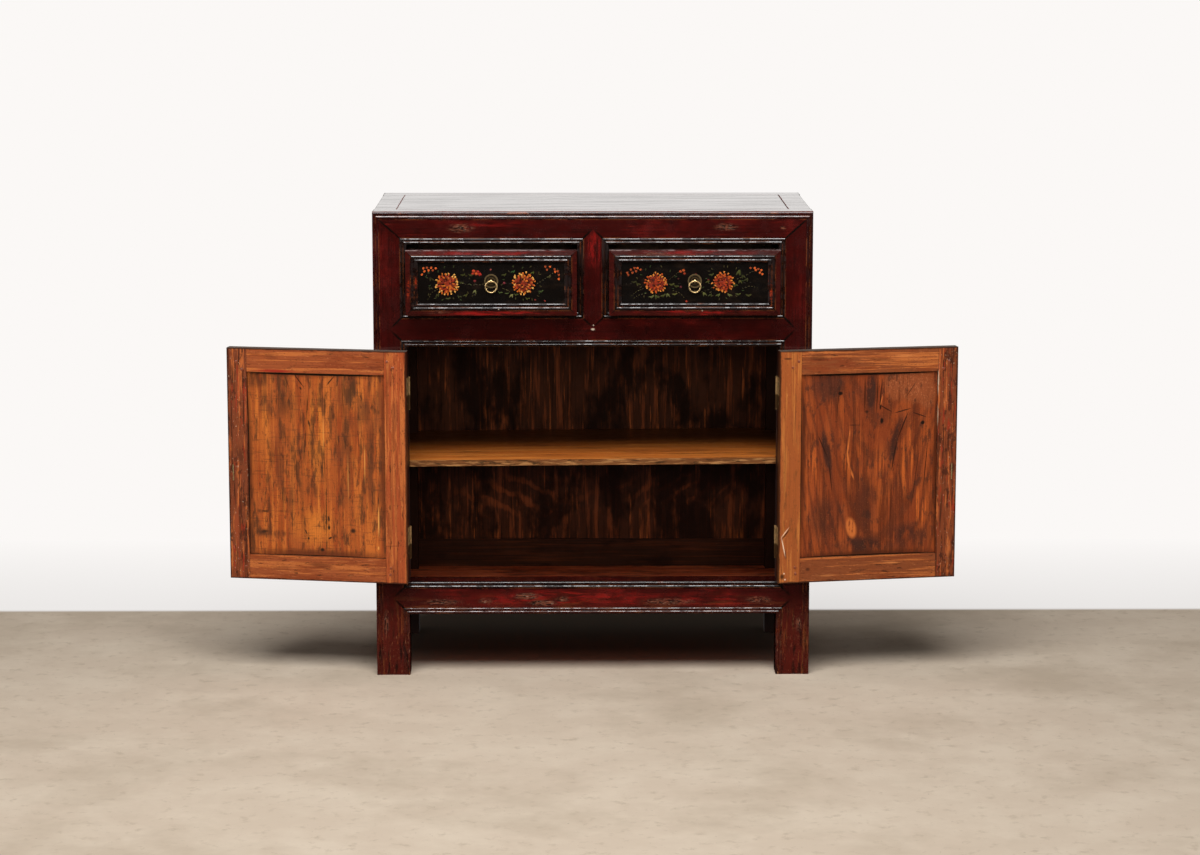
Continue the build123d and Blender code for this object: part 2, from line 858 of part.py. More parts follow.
# the four members: bottom, top, and the two upright ends
drawer_places = (
    (drawer_width, 0, (drawer_middle_x, drawer_face_y, drawer_front_z[0])),
    (drawer_width, 180, (drawer_middle_x, drawer_face_y, drawer_front_z[1])),
    (drawer_front_height, 90, (drawer_x[0], drawer_face_y, drawer_middle_z)),
    (drawer_front_height, -90, (drawer_x[1], drawer_face_y, drawer_middle_z)),
)
drawer_members = [
    drawer_member(length, turn).move(Location(place))
    for length, turn, place in drawer_places
]
write_pair(Compound(children=drawer_members), "drawer_{}_front_frame")


def ring_shank_hole(x, z, y_range):
    # hole for a split pin, straight through from front to back
    with BuildSketch(facing(y_range[0])) as profile:
        with Locations((x, z)):
            Circle(shank_radius + shank_play)
    extrude(profile.sketch, amount=-(y_range[1] - y_range[0]), mode=Mode.SUBTRACT)


with BuildPart() as drawer_panel:
    grooved = drawer_groove - end_play
    block(
        (panel_x[0] - grooved, panel_x[1] + grooved),
        panel_y,
        (panel_z[0] - grooved, panel_z[1] + grooved),
    )
    ring_shank_hole(drawer_middle_x, pull_height, panel_y)
write_pair(drawer_panel.part, "drawer_{}_painted_panel")

side_z = (drawer_front_z[0], drawer_front_z[1] - drawer_side_drop)
bottom_z = (
    drawer_z + drawer_bottom_raise,
    drawer_z + drawer_bottom_raise + drawer_bottom_thickness,
)
inner_x = (drawer_x[0] + drawer_board, drawer_x[1] - drawer_board)
bottom_block = (
    (inner_x[0] - drawer_groove, inner_x[1] + drawer_groove),
    (drawer_box_y, drawer_back_y - drawer_board + drawer_groove),
    bottom_z,
)
with BuildPart() as drawer_sides:
    for x_range in ((drawer_x[0], inner_x[0]), (inner_x[1], drawer_x[1])):
        block(x_range, (drawer_box_y, drawer_back_y), side_z)
    block(*bottom_block, mode=Mode.SUBTRACT)
write_pair(drawer_sides.part, "drawer_{}_sides")

with BuildPart() as drawer_back:
    block(inner_x, (drawer_back_y - drawer_board, drawer_back_y), side_z)
    block(*bottom_block, mode=Mode.SUBTRACT)
write_pair(drawer_back.part, "drawer_{}_back")

with BuildPart() as drawer_bottom:
    block(*bottom_block)
write_pair(drawer_bottom.part, "drawer_{}_bottom")

# Door frame members, closed, seen from the front; the corners are mitred on the face
door_back_y = front_y + door_thickness
door_split_y = front_y + door_face_depth
stile_inner_x = door_edge_x - hinge_stile
meeting_inner_x = door_free_x + meeting_stile
rail_low_z = door_z[0] + door_bottom_rail
rail_high_z = door_z[1] - door_top_rail
door_panel_y = (
    door_back_y - door_panel_back - door_panel_thickness,
    door_back_y - door_panel_back,
)
door_panel_block = (
    (meeting_inner_x - tongue, stile_inner_x + tongue),
    door_panel_y,
    (rail_low_z - tongue, rail_high_z + tongue),
)


def door_mitre(outer, inner):
    # face mitre at a door corner, from its outer corner to the corner of the panel
    step_x = 1 if inner[0] > outer[0] else -1
    step_z = 1 if inner[1] > outer[1] else -1
    return [
        outer,
        (outer[0] + step_x * door_edge_bead, outer[1] + step_z * door_edge_bead),
        (inner[0] - step_x * inner_band, inner[1] - step_z * inner_band),
        inner,
    ]


hinge_low = door_mitre((door_edge_x, door_z[0]), (stile_inner_x, rail_low_z))
hinge_high = door_mitre((door_edge_x, door_z[1]), (stile_inner_x, rail_high_z))
free_low = door_mitre((door_free_x, door_z[0]), (meeting_inner_x, rail_low_z))
free_high = door_mitre((door_free_x, door_z[1]), (meeting_inner_x, rail_high_z))


def door_stile(outer_x, inner_x, outline, edge_beads):
    # a stile: its face half ends in the mitres, its back half runs the full height
    x_low, x_high = sorted((outer_x, inner_x))
    inner_first = inner_x < outer_x
    first = (2, inner_bead) if inner_first else edge_beads
    last = edge_beads if inner_first else (2, inner_bead)
    start_depth = bead_depth if first[0] else field_depth
    with BuildSketch(Plane.XY.offset(door_z[0])) as profile:
        with BuildLine():
            end = moulded_edge(
                (x_low, front_y), (1, 0), (0, 1), x_high - x_low, first, last
            )
            Polyline(
                end,
                (x_high, door_back_y),
                (x_low, door_back_y),
                (x_low, front_y + start_depth),
            )
        make_face()
    extrude(profile.sketch, amount=door_z[1] - door_z[0])
    with BuildSketch(facing(front_y)) as profile:
        with BuildLine():
            Polyline(
                (x_low, door_z[0]),
                (x_high, door_z[0]),
                (x_high, door_z[1]),
                (x_low, door_z[1]),
                close=True,
            )
        make_face()
        with BuildLine():
            Polyline(*outline, close=True)
        make_face(mode=Mode.SUBTRACT)
    extrude(profile.sketch, amount=-door_face_depth, mode=Mode.SUBTRACT)
    block(*door_panel_block, mode=Mode.SUBTRACT)


with BuildPart() as door_hinge_stile:
    door_stile(
        door_edge_x, stile_inner_x, hinge_low + hinge_high[::-1], (1, door_edge_bead)
    )
    for height in hinge_heights:
        block(
            (door_edge_x - hinge_leaf, door_edge_x),
            (front_y - spare, front_y + hinge_leaf_width),
            (height - hinge_height / 2, height + hinge_height / 2),
            mode=Mode.SUBTRACT,
        )
    screw_holes(door_edge_x, -1, screw_radius, screw_length)
write_pair(opened(door_hinge_stile.part), "door_{}_hinge_stile")

door_seat_y = front_y + field_depth
door_pin_x = door_free_x + door_pull_inset
door_pull_height = sum(door_z) / 2 - door_pull_drop
with BuildPart() as door_meeting_stile:
    door_stile(door_free_x, meeting_inner_x, free_low + free_high[::-1], (0, 0))
    ring_shank_hole(door_pin_x, door_pull_height, (front_y, door_back_y))
write_pair(opened(door_meeting_stile.part), "door_{}_meeting_stile")


def door_rail(low, high, lower_beads, upper_beads, outline):
    # a rail: its face half reaches both corners, its back half stops at the stiles
    with BuildSketch(Plane.YZ.offset(door_free_x)) as profile:
        with BuildLine():
            end = moulded_edge(
                (front_y, low), (0, 1), (1, 0), high - low, lower_beads, upper_beads
            )
            Polyline(
                end,
                (door_back_y, high),
                (door_back_y, low),
                (front_y + bead_depth, low),
            )
        make_face()
    extrude(profile.sketch, amount=door_edge_x - door_free_x)
    polygon_cut(facing(front_y), outline, door_thickness, Mode.INTERSECT)
    for x_range in ((door_free_x, meeting_inner_x), (stile_inner_x, door_edge_x)):
        block(x_range, (door_split_y, door_back_y), (low, high), mode=Mode.SUBTRACT)
    block(*door_panel_block, mode=Mode.SUBTRACT)


with BuildPart() as door_sill_rail:
    door_rail(
        door_z[0],
        rail_low_z,
        (1, door_edge_bead),
        (2, inner_bead),
        free_low + hinge_low[::-1],
    )
with BuildPart() as door_head_rail:
    door_rail(
        rail_high_z,
        door_z[1],
        (2, inner_bead),
        (1, door_edge_bead),
        free_high + hinge_high[::-1],
    )
door_rails = Compound(children=[door_sill_rail.part, door_head_rail.part])
write_pair(opened(door_rails), "door_{}_rails")

with BuildPart() as door_panel:
    x_range, z_range = eased((door_panel_block[0], door_panel_block[2]), end_play)
    block(x_range, door_panel_y, z_range)
write_pair(opened(door_panel.part), "door_{}_panel")


# Hinges: the lower barrel belongs to the post, the upper one to the door
def hinge_barrel(low, high):
    with BuildSketch(Plane.XY.offset(low)) as profile:
        with Locations((hinge_x, hinge_y)):
            Circle(hinge_radius)
    extrude(profile.sketch, amount=high - low)


def hinge_bore(low, high):
    with BuildSketch(Plane.XY.offset(low)) as profile:
        with Locations((hinge_x, hinge_y)):
            Circle(hinge_pin_radius + hinge_pin_play)
    extrude(profile.sketch, amount=high - low, mode=Mode.SUBTRACT)


def hinge_leaves(plate_x, knuckle_side):
    # two leaves of one kind; knuckle_side is -1 for a lower barrel and 1 for an upper one
    for height in hinge_heights:
        low = height - hinge_height / 2
        high = height + hinge_height / 2
        bottom, top = (low, height) if knuckle_side < 0 else (height + hinge_knuckle_gap, high)
        block(plate_x, (front_y, front_y + hinge_leaf_width), (low, high))
        block(plate_x, (hinge_y, front_y), (bottom, top))
        hinge_barrel(bottom, top)
        hinge_bore(low - spare, high + spare)


post_plate_x = (opening_half, opening_half + hinge_leaf)
door_plate_x = (door_edge_x - hinge_leaf, door_edge_x)
with BuildPart() as post_leaves:
    hinge_leaves(post_plate_x, -1)
    screw_holes(opening_half, 1, screw_head_radius, hinge_leaf)
write(both_sides(post_leaves.part), "hinge_post_leaves")

with BuildPart() as door_leaves:
    hinge_leaves(door_plate_x, 1)
    screw_holes(door_edge_x, -1, screw_head_radius, hinge_leaf)
write_pair(opened(door_leaves.part), "hinge_{}_door_leaves")

with BuildPart() as hinge_pins:
    for side in (-1, 1):
        for height in hinge_heights:
            low = height - hinge_height / 2
            with BuildSketch(Plane.XY.offset(low)):
                with Locations((side * hinge_x, hinge_y)):
                    Circle(hinge_pin_radius)
            extrude(amount=hinge_height - hinge_pin_head)
            with BuildSketch(Plane.XY.offset(low)):
                with Locations((side * hinge_x, hinge_y)):
                    Circle(hinge_head_radius)
            extrude(amount=-hinge_pin_head)
write(hinge_pins.part, "hinge_pins")


def screws(face_x, direction):
    # flat-headed screws, flush with the leaf
    for height in hinge_heights:
        for offset in screw_offsets:
            seat = Plane(
                origin=(face_x, leaf_screw_y, height + offset),
                z_dir=(direction, 0, 0),
            )
            with BuildSketch(seat) as profile:
                Circle(screw_head_radius)
            extrude(profile.sketch, amount=hinge_leaf)
            with BuildSketch(seat) as profile:
                Circle(screw_radius)
            extrude(profile.sketch, amount=screw_length)


with BuildPart() as post_screws:
    screws(opening_half, 1)
write(both_sides(post_screws.part), "hinge_post_screws")

with BuildPart() as door_screws:
    screws(door_edge_x, -1)
write_pair(opened(door_screws.part), "hinge_{}_door_screws")


# Ring pulls: a back plate, a split pin with its eye, and a ring that swings in the eye
def plate_hole(x, z, seat_y):
    with BuildSketch(facing(seat_y)) as profile:
        with Locations((x, z)):
            Circle(shank_radius + shank_play)
    extrude(profile.sketch, amount=spare, mode=Mode.SUBTRACT)
    extrude(profile.sketch, amount=-spare, mode=Mode.SUBTRACT)


def round_plate(x, z, seat_y, radius):
    # a thin disc with a raised rim
    with BuildSketch(facing(seat_y)) as profile:
        with Locations((x, z)):
            Circle(radius)
    extrude(profile.sketch, amount=plate_thickness)
    with BuildSketch(facing(seat_y)) as profile:
        with Locations((x, z)):
            Circle(radius)
            Circle(radius - plate_rim, mode=Mode.SUBTRACT)
    extrude(profile.sketch, amount=plate_rim_height)


def split_pin(x, z, seat_y, inner_y, rise, wire):
    # an eye whose hole runs along X, a shank through the wood, and two legs bent apart
    eye_hole = wire + eye_play
    eye_y = seat_y - rise
    with BuildSketch(Plane.YZ.offset(x - eye_width / 2)) as profile:
        with Locations((eye_y, z)):
            Circle(eye_hole + eye_wire)
            Circle(eye_hole, mode=Mode.SUBTRACT)
    extrude(profile.sketch, amount=eye_width)
    with BuildSketch(facing(inner_y)) as profile:
        with Locations((x, z)):
            Circle(shank_radius)
    extrude(profile.sketch, amount=inner_y - eye_y - eye_hole - eye_wire / 2)
    block(
        (x - leg_width / 2, x + leg_width / 2),
        (inner_y, inner_y + leg_thickness),
        (z - leg_length, z + leg_length),
    )


def pull_ring(x, z, eye_y, radius, wire):
    # hangs straight down with its top in the eye
    with Locations(Location((x, eye_y, z - radius), (90, 0, 0))):
        Torus(radius, wire)


with BuildPart() as drawer_plate:
    round_plate(drawer_middle_x, pull_height, panel_face_y, drawer_plate_radius)
    plate_hole(drawer_middle_x, pull_height, panel_face_y)
write_pair(drawer_plate.part, "drawer_{}_pull_plate")

with BuildPart() as drawer_pin:
    split_pin(
        drawer_middle_x,
        pull_height,
        panel_face_y,
        panel_y[1],
        eye_rise,
        drawer_ring_wire,
    )
write_pair(drawer_pin.part, "drawer_{}_pull_pin")

with BuildPart() as drawer_ring:
    pull_ring(
        drawer_middle_x,
        pull_height,
        panel_face_y - eye_rise,
        drawer_ring_radius,
        drawer_ring_wire,
    )
write_pair(drawer_ring.part, "drawer_{}_pull_ring")

with BuildPart() as door_plate:
    round_plate(door_free_x, door_pull_height, door_seat_y, door_plate_radius)
    block(
        (door_free_x - door_plate_radius, door_free_x),
        (door_seat_y - spare, door_seat_y + spare),
        (door_pull_height - door_plate_radius, door_pull_height + door_plate_radius),
        mode=Mode.SUBTRACT,
    )
    plate_hole(door_pin_x, door_pull_height, door_seat_y)
write_pair(opened(door_plate.part), "door_{}_pull_plate")

with BuildPart() as door_pin:
    split_pin(
        door_pin_x,
        door_pull_height,
        door_seat_y,
        door_back_y,
        door_eye_rise,
        door_ring_wire,
    )
write_pair(opened(door_pin.part), "door_{}_pull_pin")

with BuildPart() as door_ring:
    pull_ring(
        door_pin_x,
        door_pull_height,
        door_seat_y - door_eye_rise,
        door_ring_radius,
        door_ring_wire,
    )
write_pair(opened(door_ring.part), "door_{}_pull_ring")
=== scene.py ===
import json
import math
import random
from functools import partial
from typing import NamedTuple

import bmesh
import bpy
from mathutils import Matrix, Vector


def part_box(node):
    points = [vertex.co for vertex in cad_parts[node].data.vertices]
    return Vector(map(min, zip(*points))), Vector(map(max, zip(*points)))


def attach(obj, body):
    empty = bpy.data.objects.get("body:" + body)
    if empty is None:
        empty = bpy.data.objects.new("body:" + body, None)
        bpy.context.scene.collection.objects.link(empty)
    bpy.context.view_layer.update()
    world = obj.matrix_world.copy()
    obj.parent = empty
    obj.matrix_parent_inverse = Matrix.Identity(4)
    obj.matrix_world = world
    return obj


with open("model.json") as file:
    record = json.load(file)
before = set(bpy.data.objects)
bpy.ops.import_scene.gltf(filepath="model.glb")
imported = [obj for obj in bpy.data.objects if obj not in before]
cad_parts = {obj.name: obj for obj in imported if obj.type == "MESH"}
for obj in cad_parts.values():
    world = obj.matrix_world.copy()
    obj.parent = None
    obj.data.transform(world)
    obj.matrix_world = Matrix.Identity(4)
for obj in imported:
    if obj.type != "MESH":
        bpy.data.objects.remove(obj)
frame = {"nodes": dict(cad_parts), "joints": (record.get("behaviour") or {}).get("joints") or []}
nodes = frame["nodes"]
joints = {joint["name"]: joint for joint in frame["joints"]}
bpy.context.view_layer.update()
mm = 0.001
print("cabinet frame loaded,", len(nodes), "pieces")


def hexColour(text):  # sRGB hex to the linear colour that a shader takes
    parts = [int(text[i : i + 2], 16) / 255 for i in (1, 3, 5)]
    linear = [c / 12.92 if c <= 0.04045 else ((c + 0.055) / 1.055) ** 2.4 for c in parts]
    return (*linear, 1.0)


modes = {  # what a second word after the kind of a node sets, as in "Math ADD"
    "Math": "operation", "VectorMath": "operation", "Mapping": "vector_type",
    "Mix": "data_type", "MapRange": "interpolation_type",
}


def addNode(tree, kind, *inputs, named=None, **settings):
    # inputs go to the live sockets in order and named ones by name; None leaves a socket alone,
    # a node stands for its first live output and a text for an sRGB colour
    kind, _, mode = kind.partition(" ")
    node = tree.nodes.new("ShaderNode" + kind)
    if mode:
        settings[modes[kind]] = mode
    for name, value in settings.items():
        setattr(node, name, value)
    live = [socket for socket in node.inputs if socket.enabled]
    pairs = list(zip(live, inputs))
    pairs += [(node.inputs[name], value) for name, value in (named or {}).items()]
    for socket, value in pairs:
        if isinstance(value, bpy.types.Node):
            value = next(output for output in value.outputs if output.enabled)
        if isinstance(value, bpy.types.NodeSocket):
            tree.links.new(value, socket)
        elif value is not None:
            socket.default_value = hexColour(value) if isinstance(value, str) else value
    return node


def newMaterial(name):
    # a material, what adds a node to it, and the point of the piece that is shaded
    material = bpy.data.materials.new(name)
    material.use_nodes = True
    material.node_tree.nodes.clear()
    add = partial(addNode, material.node_tree)
    return material, add, add("TexCoord").outputs["Object"]


class Layer(NamedTuple):  # a colour laid over what is below it
    colour: str
    long: float = 0.0  # its patches' size in mm, long with the grain and wide across it
    wide: float = 0.0
    start: float = 0.0  # the noise from which they start and are full
    full: float = 0.0
    share: float = 1.0
    within: str = ""  # the mark or mask that bounds it
    height: float = None
    along: str = ""


class Mark(NamedTuple):  # a soft oval, in mm and degrees
    x: float
    z: float
    wide: float  # half its width and half its height
    high: float
    strength: float = 1.0
    turn: float = 0.0


# What all finishes share: sizes in mm, shifts and ranges of their noise
finishSettings = {
    "waver": (24, 24, 24), "cloud": (28, 28, 28), "cloudShift": 1.9, "cloudRange": (0.35, 0.7),
    "layerShift": 3.7, "ovalCore": 0.25,  # the part of an oval that has its full strength
}


def patches(add, point, sizes, detail=5.0, rough=0.65, shift=0.0):
    # noise whose patches are so many mm long on X, Y and Z; a "Noise" among the settings holds
    # these sizes, the detail, the roughness and the shift
    scaled = add("Mapping", point, (shift,) * 3, None, [1000 / size for size in sizes])
    return add("TexNoise", scaled, 1.0, detail, rough)


def boxDistance(add, plane, boxes):
    # how far outside the nearest of the flat boxes a point lies, with square corners
    nearest = 1.0
    for x0, x1, z0, z1 in boxes:
        middle = ((x0 + x1) / 2 * mm, 0, (z0 + z1) / 2 * mm)
        half = ((x1 - x0) / 2 * mm, 0, (z1 - z0) / 2 * mm)
        folded = add("VectorMath ABSOLUTE", add("VectorMath SUBTRACT", plane, middle))
        split = add("SeparateXYZ", add("VectorMath SUBTRACT", folded, half))
        far = add("Math MAXIMUM", split.outputs[0], split.outputs[2])
        nearest = add("Math MINIMUM", far, nearest)
    return nearest


def insideBox(add, point, low, high):
    # 1 within the box between two corners in mm, 0 outside it
    middle = [(a + b) / 2 * mm for a, b in zip(low, high)]
    half = [(b - a) / 2 * mm for a, b in zip(low, high)]
    local = add("Mapping TEXTURE", point, middle, None, half)
    split = add("SeparateXYZ", add("VectorMath ABSOLUTE", local))
    far = add("Math MAXIMUM", split.outputs[0], split.outputs[1])
    return add("Math LESS_THAN", add("Math MAXIMUM", far, split.outputs[2]), 1.0)


def ovals(add, plane, places):
    # the strongest of the marks at each point
    strongest = 0.0
    for mark in (Mark(*place) for place in places):
        local = add(
            "Mapping TEXTURE", plane, (mark.x * mm, 0, mark.z * mm),
            (0, math.radians(mark.turn), 0), (mark.wide * mm, 1e6, mark.high * mm),
        )
        reach = add("VectorMath LENGTH", local)
        core = finishSettings["ovalCore"]
        oval = add("MapRange SMOOTHSTEP", reach, 1.0, core, 0.0, mark.strength)
        strongest = add("Math MAXIMUM", oval, strongest)
    return strongest


def glaze(add, point, along, settings, masks=None, shift=0.0):
    # lays the layers over the ground; gives a look, which is colour, roughness and height
    masks = dict(masks or {})
    for name, places in settings.get("marks", {}).items():
        masks[name] = ovals(add, point, places)
    colour, height = settings["ground"], 0.0
    for number, layer in enumerate(settings["layers"]):
        share = layer.share
        if layer.within:
            share = add("Math MULTIPLY", masks[layer.within], share)
        if layer.long:
            run = layer.along or along
            sizes = [layer.long if axis == run else layer.wide for axis in "XYZ"]
            noise = patches(add, point, sizes, shift=shift + finishSettings["layerShift"] * number)
            share = add("MapRange SMOOTHSTEP", noise, layer.start, layer.full, 0.0, share)
            if layer.height is not None:
                height = add("Math MULTIPLY_ADD", noise, layer.height, height)
        colour = add("Mix RGBA", share, colour, layer.colour)
    cloud = patches(add, point, finishSettings["cloud"], shift=shift + finishSettings["cloudShift"])
    roughness = add("MapRange", cloud, *finishSettings["cloudRange"], *settings["roughness"])
    return colour, roughness, height


def blendLooks(add, share, first, second):
    # from the first look at share 0 to the second at 1
    colour = add("Mix RGBA", share, first[0], second[0])
    return (colour, *(add("Mix", share, a, b) for a, b in zip(first[1:], second[1:])))


def finish(add, look, settings, coat=None):
    # colour, roughness, relief and a rubbed coat come from nodes, the rest is set on its sockets
    colour, roughness, height = look
    relief = add("Bump", named={
        "Strength": settings["strength"], "Distance": settings["relief"] * mm, "Height": height,
    })
    surface = add("BsdfPrincipled", named={
        "Base Color": colour, "Roughness": roughness, "Normal": relief, "Coat Normal": relief,
        "Metallic": settings.get("metallic", 0.0), "IOR": settings.get("ior", 1.5),
        "Coat Weight": settings.get("coat", 0.0) if coat is None else coat,
        "Coat IOR": settings.get("coatIor", 1.5),
        "Coat Roughness": settings.get("coatRoughness", 0.1),
    })
    add("OutputMaterial", surface)


# Camera: a long lens, a little above the cabinet and looking slightly down
cameraSettings = {
    "place": (-0.0399, -6.33195, 1.5068), "pitch": 9.30, "turn": -0.502, "focal": 95.004,
    "sensor": 36,
}
camera = bpy.data.objects.new("camera", bpy.data.cameras.new("camera"))
bpy.context.scene.collection.objects.link(camera)
camera.location = cameraSettings["place"]
camera.rotation_euler = (
    math.radians(90 - cameraSettings["pitch"]), 0, math.radians(cameraSettings["turn"])
)
camera.data.lens = cameraSettings["focal"]
camera.data.sensor_width = cameraSettings["sensor"]
bpy.context.scene.camera = camera
bpy.context.scene.view_settings.view_transform = "Standard"

# Soft studio light: a large box in front and above lights everything; the weaker ones light
# only the cabinet. The low one reaches inside, and with the rear one stays out of the gloss.
lamps = {
    "keyLamp": {"place": (-0.3, -2.2, 3.4), "size": (3.0, 1.8), "watts": 134},
    "lowLamp": {"place": (0.2, -4.6, 1.7), "size": (2.4, 1.0), "watts": 84, "gloss": False},
    "fillLampRight": {"place": (3.0, -0.6, 2.0), "size": (1.6, 1.6), "watts": 42},
    "fillLampLeft": {"place": (-3.0, -0.6, 2.0), "size": (1.6, 1.6), "watts": 42},
    "rearLamp": {"place": (-0.8, 3.2, 2.6), "size": (2.0, 1.4), "watts": 90, "gloss": False},
}
lampAim = Vector((0, 0, 0.45))
unlitFloor = bpy.data.collections.new("unlitFloor")
for name, lamp in lamps.items():
    light = bpy.data.lights.new(name, "AREA")
    light.shape = "RECTANGLE"
    light.size, light.size_y = lamp["size"]
    light.energy = lamp["watts"]
    holder = bpy.data.objects.new(name, light)
    holder.location = lamp["place"]
    aim = lampAim - Vector(lamp["place"])
    holder.rotation_euler = aim.to_track_quat("-Z", "Y").to_euler()
    holder.visible_glossy = lamp.get("gloss", True)
    bpy.context.scene.collection.objects.link(holder)
    if name != "keyLamp":
        holder.light_linking.receiver_collection = unlitFloor

# Pale walls: white to the camera, dim as light, and in the gloss dark in front and bright behind
room = {
    "backdrop": "#fbf8f6", "daylight": 0.09, "mirrored": (0.04, 0.90),
    "lowest": (-0.02, 0.06),  # rise of the directions from which daylight starts and is full
    "turning": (-0.2, 0.4),  # directions between the mirrored front and the back
}
world = bpy.data.worlds.new("paleRoom")
bpy.context.scene.world = world
world.use_nodes = True
world.node_tree.nodes.clear()
add = partial(addNode, world.node_tree)
rays = add("LightPath")
seen = add("Math MAXIMUM", rays.outputs["Is Camera Ray"], rays.outputs["Is Transmission Ray"])
heading = add("SeparateXYZ", add("TexCoord").outputs["Generated"])
daylight = add("MapRange SMOOTHSTEP", heading.outputs[2], *room["lowest"], 0.0, room["daylight"])
mirrored = add("MapRange", heading.outputs[1], *room["turning"], *room["mirrored"])
strength = add("Mix", rays.outputs["Is Glossy Ray"], daylight, mirrored)
strength = add("Mix", seen, strength, 1.0)
sky = add("Background", room["backdrop"], strength)
add("OutputWorld", sky)

# Floor: pale warm grey in front, running into a white backdrop behind the cabinet, and darkened
# under it by a painted shadow
floorSettings = {
    "radius": 30.0, "sides": 96, "ground": "#dccab5", "white": "#f4f1ee", "join": (0.40, 0.42),
    "mottle": [  # size in mm, start and full of the noise, colour
        (160, 0.42, 0.62, "#e8d8c3"), (500, 0.5, 0.66, "#c2b09a"), (30, 0.56, 0.7, "#c2b09a"),
        (9, 0.66, 0.72, "#9a8975"),
    ],
    # the colour of the painted shadow under the cabinet, how far it reaches across, and where it
    # starts and is full from front to back
    "mottleShare": 0.6, "under": "#7a7064", "paintedShadowWide": (0.48, 0.36), "paintedShadowDeep": (-0.1, 0.06),
    "faded": (2.6, 4.5), "whiteGlow": (0.40, 1.2, 0.7, 1.0),
    "mirrored": "#1c1814",  # the floor as gloss shows it
}
floorMaterial, add, place = newMaterial("paleFloor")
split = add("SeparateXYZ", place)
behind = add("MapRange", split.outputs[1], *floorSettings["join"])
grey = floorSettings["ground"]
for size, start, full, tone in floorSettings["mottle"]:
    mottle = patches(add, place, (size, size, size), shift=size)
    mottle = add("MapRange", mottle, start, full, 0.0, floorSettings["mottleShare"])
    grey = add("Mix RGBA", mottle, grey, tone)
# painted shadow: the floor is darkened under the cabinet, most towards the back
aside = add("Math ABSOLUTE", split.outputs[0])
under = add("MapRange SMOOTHSTEP", aside, *floorSettings["paintedShadowWide"])
shadowBack = add("MapRange SMOOTHSTEP", split.outputs[1], *floorSettings["paintedShadowDeep"])
grey = add("Mix RGBA", add("Math MULTIPLY", under, shadowBack), grey, floorSettings["under"])
diffuse = add("BsdfDiffuse", add("Mix RGBA", behind, grey, floorSettings["white"]))
glow = add("Emission", room["backdrop"], 1.0)
rays = add("LightPath")
away = add("MapRange", add("VectorMath LENGTH", place), *floorSettings["faded"])
back = add("MapRange", split.outputs[1], *floorSettings["whiteGlow"])
far = add("Math MAXIMUM", away, add("Math MULTIPLY", back, behind))
far = add("Math MULTIPLY", far, rays.outputs["Is Camera Ray"])
surface = add("MixShader", far, diffuse, glow)
dark = add("BsdfDiffuse", floorSettings["mirrored"])
surface = add("MixShader", rays.outputs["Is Glossy Ray"], surface, dark)
add("OutputMaterial", surface)
shape = bmesh.new()
bmesh.ops.create_circle(
    shape, cap_ends=True, segments=floorSettings["sides"], radius=floorSettings["radius"]
)
mesh = bpy.data.meshes.new("floor")
shape.to_mesh(mesh)
shape.free()
mesh.materials.append(floorMaterial)
floor = bpy.data.objects.new("floor", mesh)
bpy.context.scene.collection.objects.link(floor)
unlitFloor.objects.link(floor)
unlitFloor.collection_objects[0].light_linking.link_state = "EXCLUDE"
print("camera, lamps and floor made")

# Main lines of the face frame in mm, which the lacquer follows; a flat box is its low and high
# edge across, then up
caseLines = {
    "half": 430.0, "front": -179.35, "top": 925.0, "eased": 2.6, "bead": 6.3,
    "faceDepth": 8.0,  # what the frame's front face is taken to reach back
    "boards": (-385.0, 385.0, -127.4, 188.6),
    # the insides get a painted shade: near black inside the case and on the back legs under it
    "insides": [  # above the sill, behind it down to the cupboard floor, and the back legs
        ((-408.5, -171.0, 190.5), (408.5, 238.0, 924.0)),
        ((-408.5, -126.0, 139.0), (408.5, 238.0, 190.5)),
        ((-408.5, 100.0, -1.0), (408.5, 238.0, 139.0)),
    ],
    "frontOpenings": [
        (-364, -30.5, 728, 861), (30.5, 364, 728, 861), (-364, 364, 189, 660),
        (-364, 364, -200, 124),
    ],
    "sideOpenings": [(-127.35, 188.65, 189, 861), (-127.35, 188.65, -200, 124)],
}


def lineOval(start, end, width, strength=1.0):
    # a thin oval along the line from start to end, for the marks that ovals draws
    (x0, z0), (x1, z1) = start, end
    return (
        (x0 + x1) / 2, (z0 + z1) / 2, math.hypot(x1 - x0, z1 - z0) / 2 * 1.1, width,
        strength, -math.degrees(math.atan2(z1 - z0, x1 - x0)),
    )


# Where the mitres and the pointed shoulders of the face frame show as lines, on both sides
frameJoints = [
    [(426, 917), (364, 862)], [(364, 728), (398, 694), (364, 661)],
    [(364, 187), (396.5, 156.5), (364, 125)], [(30.5, 862), (0, 891.5)],
    [(30.5, 727), (0, 697.5)],
]
jointOvals = [
    lineOval((facing * x0, z0), (facing * x1, z1), 2.6, 1.6)
    for line in frameJoints for (x0, z0), (x1, z1) in zip(line, line[1:]) for facing in (-1, 1)
]

